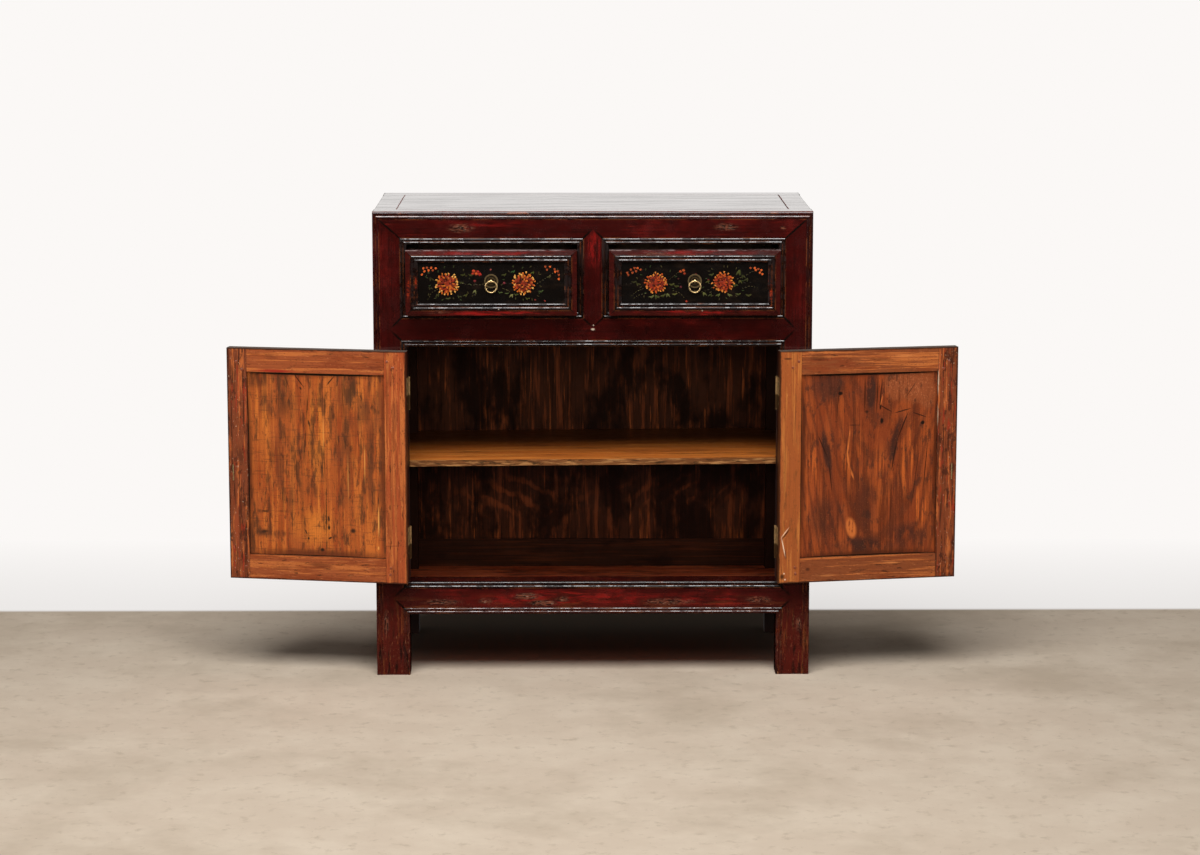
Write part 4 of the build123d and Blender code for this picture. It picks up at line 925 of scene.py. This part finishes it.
# Smoked, dusty pine inside the case: near black with rusty streaks where the smoke wore off
innerWood = {
    "ground": "#3c1f12", "relief": 0.3, "strength": 0.45, "ior": 1.45, "roughness": (0.5, 0.7),
    "layers": [
        Layer("#6e361b", 190, 13, 0.5, 0.62, 0.9, height=0.5),
        Layer("#9c5024", 130, 5, 0.58, 0.66, 0.7),
        Layer("#8c4420", within="arches", share=0.6),
        Layer("#150b07", 150, 70, 0.46, 0.6, 0.9),
        Layer("#140a06", 110, 3.2, 0.52, 0.62, 0.7),
        Layer("#0c0705", within="cracks", share=0.95),
        Layer("#b0a090", 2.5, 2.5, 0.7, 0.75, 0.5),
    ],
    "marks": {
        "low": [(-150, 290, 190, 60), (180, 300, 160, 50, 0.8)],
        "cracks": [(0, 197, 380, 1.4, 1.0, 0.4), (330, 205, 2, 24, 0.8)],
    },
}
# The rails of the back, browner and less streaked
innerRail = {
    **innerWood, "ground": "#2e180e",
    "layers": [
        Layer("#4c2513", 260, 9, 0.48, 0.62, 0.8, height=0.5),
        Layer("#170c07", 180, 3, 0.5, 0.6, 0.8),
        Layer("#120a06", 120, 40, 0.5, 0.64, 0.7),
        Layer("#b0a090", 2.5, 2.5, 0.7, 0.75, 0.5),
    ],
    "marks": {},
}
# The cupboard's floor, smoked less than the back: red-brown and dusty
floorBoard = {
    **innerWood, "ground": "#a84a2a",
    "layers": [
        Layer("#d87044", 160, 12, 0.48, 0.6),
        Layer("#4c2012", 140, 5, 0.5, 0.64, 0.75, height=0.5),
        Layer("#331710", 80, 34, 0.5, 0.64, 0.7),
        Layer("#e8c8b0", 3, 3, 0.66, 0.72, 0.6),
    ],
    "marks": {},
}
# The shelf's pine, shellacked: orange and satin, with a dirty front edge and painted shade behind
shelfBoard = {
    **bareWood, "ground": "#b86226", "edge": 0.0015, "paintedShade": (-0.08, 0.12),
    "layers": [
        Layer("#d88439", 300, 12, 0.46, 0.64),
        Layer("#5c2f14", 220, 4, 0.5, 0.7, 0.7, height=0.6),
        Layer("#4a2611", 120, 34, 0.52, 0.7, 0.6),
        # painted shade towards the back of the shelf
        Layer("#1c0e06", within="rear", share=0.85),
        Layer("#5e3a20", within="edge", share=0.9),
        Layer("#a87848", 40, 4, 0.5, 0.6, 0.8, within="edge"),
        Layer("#33200f", 26, 5, 0.54, 0.62, 0.85, within="edge"),
    ],
}
# Pine left bare where it isn't seen: brown-grey with dust, and dark along the grain
plainWood = {
    **bareWood, "ground": "#4e3a2b",
    "layers": [
        Layer("#644d39", 200, 16, 0.46, 0.66),
        Layer("#2e2119", 130, 3, 0.5, 0.72, 0.6, height=0.6),
        Layer("#33271e", 50, 40, 0.54, 0.72, 0.6),
    ],
}
# The back from behind: dry pine boards, paler and dusty, with knots
dustyPine = {
    **plainWood, "ground": "#4e3a2c",
    "layers": [
        Layer("#665040", 260, 18, 0.46, 0.64),
        Layer("#33251c", 220, 2.6, 0.5, 0.62, 0.7, height=0.6),
        Layer("#30241d", 90, 40, 0.5, 0.66, 0.6),
        Layer("#86705c", 12, 5, 0.62, 0.7, 0.5),
        Layer("#2a1d15", within="knots", share=0.85),
        Layer("#120c09", within="seams", share=0.9),
    ],
    "marks": {  # knots, and the two seams between the three boards
        "knots": [
            (-210, 300, 12, 8), (140, 520, 14, 9, 1.0, 10), (-60, 760, 10, 7), (280, 780, 8, 6),
            (60, 340, 7, 5, 0.9), (-330, 560, 9, 6, 0.9),
        ],
        "seams": [(0, 415.5, 600, 1.6, 4.0), (0, 641.9, 600, 1.6, 4.0)],
    },
}


def woodFinish(name, along, settings, shift=0.0):
    material, add, point = newMaterial(name)
    back = add("SeparateXYZ", point).outputs[1]
    masks = {}
    if name == "smokedPineBack":
        figure = archFigure(add, point, *arches["back"])
        low = ovals(add, point, settings["marks"]["low"])
        masks["arches"] = add("Math MULTIPLY", figure, low)
    if name == "shelfPine":
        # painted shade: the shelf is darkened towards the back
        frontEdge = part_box("shelf")[0][1] + settings["edge"]
        masks["edge"] = add("Math LESS_THAN", back, frontEdge)
        masks["rear"] = add("MapRange SMOOTHSTEP", back, *settings["paintedShade"])
    look = glaze(add, point, along, settings, masks, shift)
    if name in ("smokedPineBack", "smokedPineRail"):
        # outside, the back was never smoked: it is plain dusty pine
        middle = sum(corner[1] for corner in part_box("back_panel")) / 2
        outside = add("Math GREATER_THAN", back, middle)
        look = blendLooks(add, outside, look, glaze(add, point, "X", dustyPine, None, 9.0))
    finish(add, look, settings)
    return material


# Brass, cast and filed, dulled by a thin skin of tarnish; touched parts stay pale and bright
brass = {
    "ground": "#d3aa74", "relief": 0.12, "strength": 0.3, "metallic": 0.7,
    "roughness": (0.35, 0.5),
    "layers": [
        Layer("#8a7044", 7, 7, 0.46, 0.6, 0.7, height=1.0),
        Layer("#4a3c26", 3, 3, 0.58, 0.68, 0.6),
        Layer("#5a3f24", within="lower", share=0.9),
    ],
    # the lower half of each hinge, which hands don't reach, has gone brown
    "marks": {"lower": [(x, z, 14, 17.5, 5.0) for x in (-362, 362) for z in (254, 552)]},
}
plateMiddles = [
    [(low + high) / 2 / mm for low, high in zip(*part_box(name))][::2]
    for name in nodes if name.endswith("pull_plate")
]
# Plates and screws: brass tarnished brown, nearly black round the boss where no hand reaches
brassDark = {
    **brass, "ground": "#8e7852", "metallic": 0.75,
    "layers": [
        Layer("#2e2419", within="field", share=0.9),
        Layer("#6e5a3a", within="boss", share=0.9),
        Layer("#281f16", within="dish", share=0.9),
        Layer("#7c6a48", 5, 5, 0.56, 0.66, 0.6, height=1.0),
    ],
    "marks": {
        "field": [(x, z, 13.2, 13.4, 4.0) for x, z in plateMiddles],
        "boss": [(x, z, 9.0, 9.2, 4.0) for x, z in plateMiddles],
        "dish": [(x, z, 7.4, 7.6, 4.0) for x, z in plateMiddles],
    },
}
# Rings and split pins: brass that fingers keep pale and bright
brassBright = {
    **brass, "marks": {}, "ground": "#ecc88c", "metallic": 0.8, "roughness": (0.22, 0.35),
    "layers": [Layer("#a98a54", 6, 6, 0.54, 0.66, 0.6, height=1.0)],
}
lacquers = {
    "level": caseFinish("oxbloodLacquerLevel", "X", redLacquer),
    "upright": caseFinish("oxbloodLacquerUpright", "Z", redLacquer),
    "panel": caseFinish("oxbloodLacquerPanel", "Z", redLacquer, False),
    "drawer": drawerFinish("oxbloodLacquerDrawer", drawerLacquer),
}
finishes = {
    "back": woodFinish("smokedPineBack", "Z", innerWood),
    "backRail": woodFinish("smokedPineRail", "X", innerRail, 5.0),
    "floor": woodFinish("smokedPineFloor", "X", floorBoard, 4.0),
    "shelf": woodFinish("shelfPine", "X", shelfBoard, 2.0),
    "plain": woodFinish("greyedPine", "Y", plainWood),
    "plainBack": woodFinish("greyedPineBack", "X", plainWood, 7.0),
    "black": woodFinish("blackLacquerGround", "X", blackLacquer, 3.0),
    "brass": woodFinish("agedBrass", "Z", brass),
    "darkBrass": woodFinish("tarnishedBrass", "Z", brassDark),
    "brightBrass": woodFinish("rubbedBrass", "Z", brassBright),
    **lacquers,
}
kinds = {  # the first of these words that is in a node's name gives its finish
    "screws": "darkBrass", "hinge_": "brass", "pull_plate": "darkBrass", "pull": "brightBrass",
    "back_panel": "back", "bottom_rail_back": "backRail", "middle_rail_back": "backRail",
    "cupboard_floor": "floor", "drawer_runners": "plainBack", "shelf": "shelf",
    "front_frame": "drawer", "painted_panel": "black", "drawer_divider": "upright",
    "drawer_left": "plain", "drawer_right": "plain", "post_": "upright",
    "side_panel": "panel", "rail": "level", "top_boards": "level",
}
for name, piece in nodes.items():
    if name.startswith("door_") and "pull" not in name:
        side, part = name.split("_", 2)[1:]
        chosen = doorFinish(f"stainedPine_{side}_{part}", side, part)
    else:
        chosen = finishes[next(kind for word, kind in kinds.items() if word in name)]
    piece.data.materials.clear()
    piece.data.materials.append(chosen)
print("finishes given to", len(nodes), "pieces")

# Dabs of paint: flat drops, sunk a little into the face that carries them. Ranges of turns are
# in degrees and strays in mm; the other ranges are factors.
dabShape = {"sides": 9, "sunk": 0.15, "middleWide": 0.75, "widens": 0.5}
twig = {
    "stray": (-0.3, 0.3), "long": (1.2, 1.5), "wide": (0.7, 1.2), "turn": (-6, 6),
    "rise": (0.7, 1.1),
}
chrysanthemum = {
    "rings": [  # reach and number of the petals, their shades, how far they stray from straight
        (0.52, 14, ["heart", "dark"], 40), (0.84, 20, ["pale", "pale", "tip"], 22),
        (0.72, 18, ["pale", "tip", "base"], 34), (0.58, 15, ["tip", "base", "heart"], 50),
        (0.44, 12, ["tip", "heart", "dark"], 60), (0.28, 8, ["base", "tip", "dark"], 80),
        (0.1, 4, ["base", "heart"], 90),
    ],
    "firstBroad": 1.7, "turn": (-8, 8), "reach": (0.9, 1.1), "flatter": 0.94, "up": 1,
    "long": (0.3, 0.38), "wide": (0.24, 0.32), "darkUnder": 0.4, "rise": (0.16, 0.07),
}


def addDab(shape, place, paint, rise):
    # place is x, z, length and width in mm and the turn in degrees; paint is the colour at the
    # start and at the tip; the drop is broadest towards its tip
    x, z, long, wide, turn = place
    layer = shape.verts.layers.float_color["paint"]
    made = bmesh.ops.create_cone(
        shape, cap_ends=True, cap_tris=False, segments=dabShape["sides"],
        radius1=0.5, radius2=0.0, depth=1.0,
    )
    start, tip = [Vector(hexColour(colour)) for colour in paint]
    angle = math.radians(turn)
    for vert in made["verts"]:
        run, across, up = vert.co
        across *= dabShape["middleWide"] + dabShape["widens"] * run
        out = (up - 0.5) * (rise + dabShape["sunk"]) + rise
        alongX = run * long * math.cos(angle) - across * wide * math.sin(angle)
        alongZ = run * long * math.sin(angle) + across * wide * math.cos(angle)
        vert.co = Vector(((x + alongX) * mm, -out * mm, (z + alongZ) * mm))
        vert[layer] = start.lerp(tip, run + 0.5)


def addTwig(shape, points, paint, width, rise, chance, step=9.0):
    # a run of overlapping dabs from point to point
    for (x0, z0), (x1, z1) in zip(points, points[1:]):
        length = math.hypot(x1 - x0, z1 - z0)
        count = max(1, round(length / step))
        turn = math.degrees(math.atan2(z1 - z0, x1 - x0))
        for number in range(count):
            share = (number + 0.5) / count
            place = (
                x0 + (x1 - x0) * share + chance.uniform(*twig["stray"]),
                z0 + (z1 - z0) * share + chance.uniform(*twig["stray"]),
                length / count * chance.uniform(*twig["long"]),
                width * chance.uniform(*twig["wide"]), turn + chance.uniform(*twig["turn"]),
            )
            addDab(shape, place, paint, rise * chance.uniform(*twig["rise"]))


def addChrysanthemum(shape, x, z, radius, colours, chance):
    # a dark disc of broad strokes, then short petals in rings from the outside in, laid one over
    # the other like scales: pale at the rim, darker and looser towards the heart
    flower = chrysanthemum
    lowest, step = flower["rise"]
    for number, (reach, count, shades, loose) in enumerate(flower["rings"]):
        offset = chance.uniform(0, 360)
        size = radius * (flower["firstBroad"] if number == 0 else 1.0)
        for petal in range(count):
            turn = offset + 360 / count * petal + chance.uniform(*flower["turn"])
            far = radius * reach * chance.uniform(*flower["reach"])
            place = (
                x + far * math.cos(math.radians(turn)),
                z + far * math.sin(math.radians(turn)) * flower["flatter"] + flower["up"],
                size * chance.uniform(*flower["long"]), size * chance.uniform(*flower["wide"]),
                turn + chance.uniform(-loose, loose),
            )
            shade = chance.choice(shades)
            under = "dark" if chance.random() < flower["darkUnder"] else "heart"
            addDab(shape, place, (colours[under], colours[shade]), lowest + step * number)


def finishPiece(shape, name, body, material, move=None):
    if move:
        bmesh.ops.transform(shape, matrix=move, verts=shape.verts)
    mesh = bpy.data.meshes.new(name)
    shape.to_mesh(mesh)
    shape.free()
    mesh.materials.append(material)
    piece = bpy.data.objects.new(name, mesh)
    bpy.context.scene.collection.objects.link(piece)
    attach(piece, body)
    return piece


def newShape():
    shape = bmesh.new()
    shape.verts.layers.float_color.new("paint")
    return shape


def paintFinish(name, settings):
    material, add, point = newMaterial(name)
    paint = add("Attribute", attribute_name="paint").outputs["Color"]
    finish(add, glaze(add, point, "X", {**settings, "ground": paint}), settings)
    return material


# Mineral pigment in lacquer: satin, thin enough for the black to show where it is rubbed
pigment = {
    "relief": 0.1, "strength": 0.3, "coat": 0.2, "ior": 1.38, "roughness": (0.3, 0.5),
    "layers": [Layer("#1a0f0a", 5, 5, 0.56, 0.74, 0.4, height=0.5)],
}
# End grain of the pegs, worn and polished by hands, with dirt in its pores
pegWood = {
    "relief": 0.15, "strength": 0.5, "coat": 0.6, "roughness": (0.3, 0.5),
    "layers": [Layer("#6e5040", 5, 3, 0.54, 0.66, 0.5, height=1.0)],
}
finishes["pigment"] = paintFinish("mineralPigment", pigment)
finishes["pegWood"] = paintFinish("pegEndGrain", pegWood)

# Painted sprays, in mm from the split pin of each pull: flowers by x, z and radius, berries by
# x and z, buds by x, z, width and colour, leaves by x, z, length, turn and colour, twigs by points
flowerColours = {
    "pale": "#eeb055", "tip": "#cc6c1e", "base": "#a63e17", "heart": "#7c2410",
    "dark": "#3c1007",
}
redderColours = {**flowerColours, "pale": "#dc8a36", "tip": "#bc5214", "base": "#9c3210"}
drawerSprays = {
    "left": {
        "seed": 40, "low": -36, "high": 28, "petals": flowerColours,
        "flowers": [(-85, -6, 25), (62, -5, 25)],
        "berries": [
            (-131, 25), (-124, 26), (-116, 26), (-107, 25), (-129, 19), (-134, 13), (105, 28),
            (114, 28), (123, 23), (129, 19), (131, 12), (131, 4), (124, 18), (108, 22), (-121, 21),
            (-113, 21),
        ],
        "buds": [
            (-34, 19, 9, "#c8421c"), (-29, 14, 8, "#d85a24"), (-22, 13, 9, "#b8281c"),
            (-36, 14, 7, "#b03018"), (-26, 18, 8, "#a82416"), (-1, 22, 5, "#a85048"),
            (-32, 0, 7, "#7a2a2a"), (25, -4, 7, "#7a3038"), (85, -37, 4, "#8a3026"),
            (104, -39, 4.5, "#9a3028"),
        ],
        "leaves": [
            (42, 18, 9, 40, "#285124"), (-55, 12, 8, 10, "#404116"), (-40, 12, 8, -20, "#404116"),
            (25, 12, 9, 30, "#404116"), (-58, -3, 8, -30, "#404116"), (-32, -21, 9, 70, "#787947"),
            (39, -29, 9, 70, "#88834c"), (17, -22, 7, -30, "#53602f"), (30, -24, 6, 20, "#53602f"),
            (48, -26, 7, -20, "#4c511d"), (-50, -28, 9, 40, "#474618"),
            (-62, -30, 8, -40, "#3c3d1a"), (-84, -34, 9, 10, "#4a4a20"),
            (-104, -28, 8, 50, "#403e1c"), (96, -20, 9, 20, "#405124"), (80, 16, 7, 60, "#576223"),
            (70, -34, 8, -20, "#4f4f1d"), (-116, 4, 9, -60, "#322c13"),
            (-118, -14, 8, -40, "#352e14"), (112, 8, 8, 30, "#4a4320"),
        ],
        "twigs": [
            [(-124, -38), (-116, -23), (-98, -12)], [(-107, -29), (-98, -14)],
            [(-112, -36), (-100, -22)], [(-58, -4), (-36, -8), (-14, -6)],
            [(87, -6), (107, 6), (130, 23)], [(-36, 14), (-44, 2)],
            [(-120, 20), (-126, 8), (-110, 2)],
            [(-40, -30), (-28, -26), (-32, -16)], [(20, -14), (34, -18), (40, -28)],
        ],
    },
    "right": {
        "seed": 41, "low": -36, "high": 28, "petals": redderColours,
        "flowers": [(-75, -5, 23), (55, -4, 23)],
        "berries": [
            (-131, 16), (-124, 22), (-117, 25), (-111, 25), (-105, 22), (-129, 12), (-121, 16),
            (-114, 19), (108, 25), (116, 25), (123, 23), (129, 21), (131, 13), (126, 16), (118, 21),
        ],
        "buds": [
            (-28, 18, 7, "#c0501e"), (-22, 20, 7, "#cc5c24"), (-20, 14, 6, "#a83a18"),
            (2, 13, 4, "#8a2418"), (-27, -12, 6, "#6a2830"), (-16, -40, 5.5, "#c03a20"),
            (26, 2, 5, "#5a2418"), (-32, 4, 4, "#5a2a24"),
        ],
        "leaves": [
            (-84, -31, 10, 30, "#676837"), (-74, -31, 10, 120, "#494f23"),
            (-62, -29, 9, 40, "#4d4d1d"), (-52, -28, 10, 100, "#676837"),
            (-39, -26, 9, 20, "#67642d"), (19, -26, 10, 120, "#676837"),
            (30, -28, 8, 60, "#3e4320"), (45, -28, 9, 40, "#5d6432"), (68, -28, 10, 140, "#676837"),
            (84, -26, 10, 10, "#4f5124"), (104, -28, 11, 0, "#48461f"),
            (-45, -7, 10, 10, "#4d4d1d"), (-36, -10, 9, -30, "#434318"),
            (85, 16, 14, 70, "#4d5124"), (88, -2, 9, 90, "#4d4d1d"), (78, -8, 9, -40, "#454a1a"),
            (25, -2, 8, 50, "#4d4d1d"), (32, 12, 9, 30, "#454a1a"), (-118, -2, 9, 10, "#353415"),
            (-110, -6, 9, -40, "#403d1a"), (100, 2, 10, 60, "#3b3b1c"), (94, 8, 10, 120, "#37391a"),
        ],
        "twigs": [
            [(-124, -30), (-112, -20), (-98, -14)], [(-120, -34), (-106, -26), (-92, -24)],
            [(-50, 2), (-38, 12), (-30, 18)], [(80, 2), (104, 14), (120, 22)],
            [(10, -22), (30, -16), (40, -6)], [(90, -16), (108, -10), (124, -14)],
            [(-44, -18), (-28, -24), (-20, -34)],
        ],
    },
}
sprayColours = {
    "berries": [("#8c2c10", "#d8662a"), ("#5c2010", "#a04820")], "twig": ("#4a4226", "#6c6238"),
    "crack": ("#5e5248", "#74685c"), "under": ["#3c4420", "#483e20", "#34441f", "#504626"],
    "underStart": "#14140a", "leafStart": "#20200e", "budStart": "#3c140e",
}
strokes = {
    "underCount": 15, "underLong": 13, "paintedShadowWide": 6, "underReach": (1.1, 1.6),
    "underStretch": 1.15, "underTurn": (-50, 50), "round": (-10, 10),
    "twigWide": 1.8, "twigStep": 6.0, "leafSpread": 22, "leafTurn": (-8, 8), "leafAside": 1.8,
    "leafLong": 1.7, "leafWide": 0.72, "berryTurns": (40, 160, 280), "berryLong": 8.5,
    "berryWide": 6.5, "berryTurn": (-20, 20), "budTurns": (10, 75, 140), "budLong": 1.4,
    "budWide": 0.8,
    # how far each kind stands out, in mm
    "underRise": 0.1, "twigRise": 0.12, "leafRise": 0.16, "berryRise": 0.2, "budRise": 0.22,
}


def addSpray(shape, spray, middle, chance, scale=1.0):
    def dab(x, z, long, wide, turn, paint, rise):
        place = (middle[0] + x * scale, middle[1] + z * scale, long * scale, wide * scale, turn)
        addDab(shape, place, paint, rise)

    for x, z, radius in spray["flowers"]:
        # dim leaves behind the flower
        for number in range(strokes["underCount"]):
            turn = 360 / strokes["underCount"] * number + chance.uniform(*strokes["round"])
            far = radius * chance.uniform(*strokes["underReach"])
            across = x + far * strokes["underStretch"] * math.cos(math.radians(turn))
            up = min(max(z + far * math.sin(math.radians(turn)), spray["low"]), spray["high"])
            paint = (sprayColours["underStart"], chance.choice(sprayColours["under"]))
            turn += chance.uniform(*strokes["underTurn"])
            dab(
                across, up, strokes["underLong"], strokes["paintedShadowWide"], turn, paint,
                strokes["underRise"],
            )
    for points in spray["twigs"]:
        points = [(middle[0] + x * scale, middle[1] + z * scale) for x, z in points]
        addTwig(
            shape, points, sprayColours["twig"], strokes["twigWide"] * scale,
            strokes["twigRise"], chance, strokes["twigStep"] * scale,
        )
    for x, z, size, turn, colour in spray["leaves"]:
        long, wide = size * strokes["leafLong"], size * strokes["leafWide"]
        paint = (sprayColours["leafStart"], colour)
        for side in (-1, 1):
            slant = turn + side * strokes["leafSpread"] + chance.uniform(*strokes["leafTurn"])
            aside = x + side * strokes["leafAside"]
            dab(aside, z, long, wide, slant, paint, strokes["leafRise"])
    for x, z in spray["berries"]:
        paint = chance.choice(sprayColours["berries"])
        long, wide = strokes["berryLong"], strokes["berryWide"]
        for turn in strokes["berryTurns"]:
            turn += chance.uniform(*strokes["berryTurn"])
            dab(x, z, long, wide, turn, paint, strokes["berryRise"])
    for x, z, size, colour in spray["buds"]:
        long, wide = size * strokes["budLong"], size * strokes["budWide"]
        for turn in strokes["budTurns"]:
            paint = (sprayColours["budStart"], colour)
            dab(x, z, long, wide, turn, paint, strokes["budRise"])
    for x, z, radius in spray["flowers"]:
        addChrysanthemum(
            shape, middle[0] + x * scale, middle[1] + z * scale, radius * scale,
            spray["petals"], chance,
        )


crack = {  # broken across the painted ground, in mm from the split pin
    "starts": range(-138, 130, 23), "long": 20, "clear": 20, "down": 4.4, "stray": (-0.8, 0.8),
    "slope": (-1, 1), "wide": 0.8, "rise": 0.06, "kept": 0.6,
}


def addCrack(shape, middle, chance):
    for start in crack["starts"]:
        if chance.random() < crack["kept"] and abs(start) > crack["clear"]:
            x = middle[0] + start
            z = middle[1] - crack["down"] + chance.uniform(*crack["stray"])
            end = (x + crack["long"], z + chance.uniform(*crack["slope"]))
            addTwig(
                shape, [(x, z), end], sprayColours["crack"], crack["wide"], crack["rise"], chance
            )


for side, spray in drawerSprays.items():
    chance = random.Random(spray["seed"])
    low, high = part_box(f"drawer_{side}_pull_plate")
    middle = ((low[0] + high[0]) / 2 / mm, (low[2] + high[2]) / 2 / mm)
    shape = newShape()
    addSpray(shape, spray, middle, chance)
    addCrack(shape, middle, chance)
    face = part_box(f"drawer_{side}_painted_panel")[0][1]
    finishPiece(
        shape, f"painted_spray_drawer_{side}", f"drawer_{side}",
        finishes["pigment"], Matrix.Translation((0, face, 0)),
    )
print("flowers painted on the drawers")

# A taller spray of the same flowers for the black outer panels of the doors. It is laid out on
# the closed doors and swung open with them.
doorSpray = {
    "seeds": {"left": 60, "right": 61}, "scale": 1.3, "low": -110, "high": 100,
    "petals": flowerColours,
    "flowers": [(0, 44, 30), (-40, -18, 24), (44, -40, 22)],
    "berries": [
        (-60, 74), (-52, 80), (-44, 82), (-66, 66), (58, 66), (66, 60), (70, 50), (50, 72),
    ],
    "buds": [
        (36, 18, 8, "#c8421c"), (42, 12, 7, "#b8281c"), (-14, -74, 8, "#c0501e"),
        (-62, 26, 6, "#8a3026"),
    ],
    "leaves": [
        (-30, 24, 16, 140, "#4b642c"), (34, 46, 16, 30, "#475b28"), (12, 4, 15, -60, "#576a32"),
        (-12, -6, 15, 200, "#475b28"), (-66, -30, 16, 190, "#575b27"),
        (-40, -54, 15, 250, "#475327"), (16, -62, 16, 230, "#4d5526"), (70, -30, 16, 20, "#616e36"),
        (60, -70, 15, -40, "#5d642c"), (-44, 60, 14, 120, "#494d27"), (48, 84, 13, 70, "#494d27"),
        (4, 92, 14, 80, "#475b28"), (-84, 40, 13, 150, "#555726"), (86, 20, 13, 40, "#555726"),
        (0, -100, 14, -80, "#494d27"),
    ],
    "twigs": [
        [(6, -118), (2, -70), (-4, -20), (0, 20)], [(2, -70), (24, -56), (40, -48)],
        [(-2, -40), (-22, -30), (-36, -22)], [(0, 10), (-36, 44), (-58, 72)],
        [(2, 30), (34, 54), (60, 66)], [(-4, -20), (26, 2), (40, 14)],
    ],
}
panelDepth = 7.0  # outer face of the door to the outer face of its panel


def swungOpen(side):
    # which way a door faces, its hinge's place from the middle in mm, and the matrix that takes
    # a piece from the outer face of the closed door to the open one
    hinge = joints[f"door_{side}_hinge"]
    facing = 1 if side == "right" else -1
    pivot = Vector((*hinge["pos_m"][:2], 0))
    swing = Matrix.Rotation(facing * math.radians(hinge["range_deg"][1]), 4, "Z")
    face = Matrix.Translation((0, caseLines["front"] * mm, 0))
    move = Matrix.Translation(pivot) @ swing @ Matrix.Translation(-pivot) @ face
    return facing, abs(pivot.x) / mm, move


for side, seed in doorSpray["seeds"].items():
    facing, pivot, move = swungOpen(side)
    left, right, low, high = leafLines["opening"]
    middle = (facing * (pivot - (left + right) / 2), (low + high) / 2)
    shape = newShape()
    addSpray(shape, doorSpray, middle, random.Random(seed), doorSpray["scale"])
    finishPiece(
        shape, f"painted_spray_door_{side}", f"door_{side}",
        finishes["pigment"], move @ Matrix.Translation((0, panelDepth * mm, 0)),
    )

# Round peg ends at the corner joints of the doors, worn flush but for a low crown
pegs = {
    "places": [
        (343, 231), (327, 217), (32, 223), (33, 210), (341, 627), (24, 622), (330, 612),
        (36, 634),
    ],
    "sides": 16, "radius": 3.2, "narrower": 0.7, "crown": 0.3, "colour": "#7c3a20",
    "depth": 24.0,  # outer face of the door to its inner face
}
for side in doorPieces:
    facing, pivot, move = swungOpen(side)
    shape = newShape()
    layer = shape.verts.layers.float_color["paint"]
    for across, up in pegs["places"]:
        place = Matrix.Translation((facing * (pivot - across) * mm, pegs["depth"] * mm, up * mm))
        made = bmesh.ops.create_cone(
            shape, cap_ends=True, segments=pegs["sides"], depth=2 * pegs["crown"] * mm,
            radius1=pegs["radius"] * mm, radius2=pegs["radius"] * pegs["narrower"] * mm,
            matrix=place @ Matrix.Rotation(math.radians(-90), 4, "X"),
        )
        for vert in made["verts"]:
            vert[layer] = hexColour(pegs["colour"])
    finishPiece(
        shape, f"pegs_door_{side}", f"door_{side}", finishes["pegWood"], move
    )
print("outer sprays and pegs added")
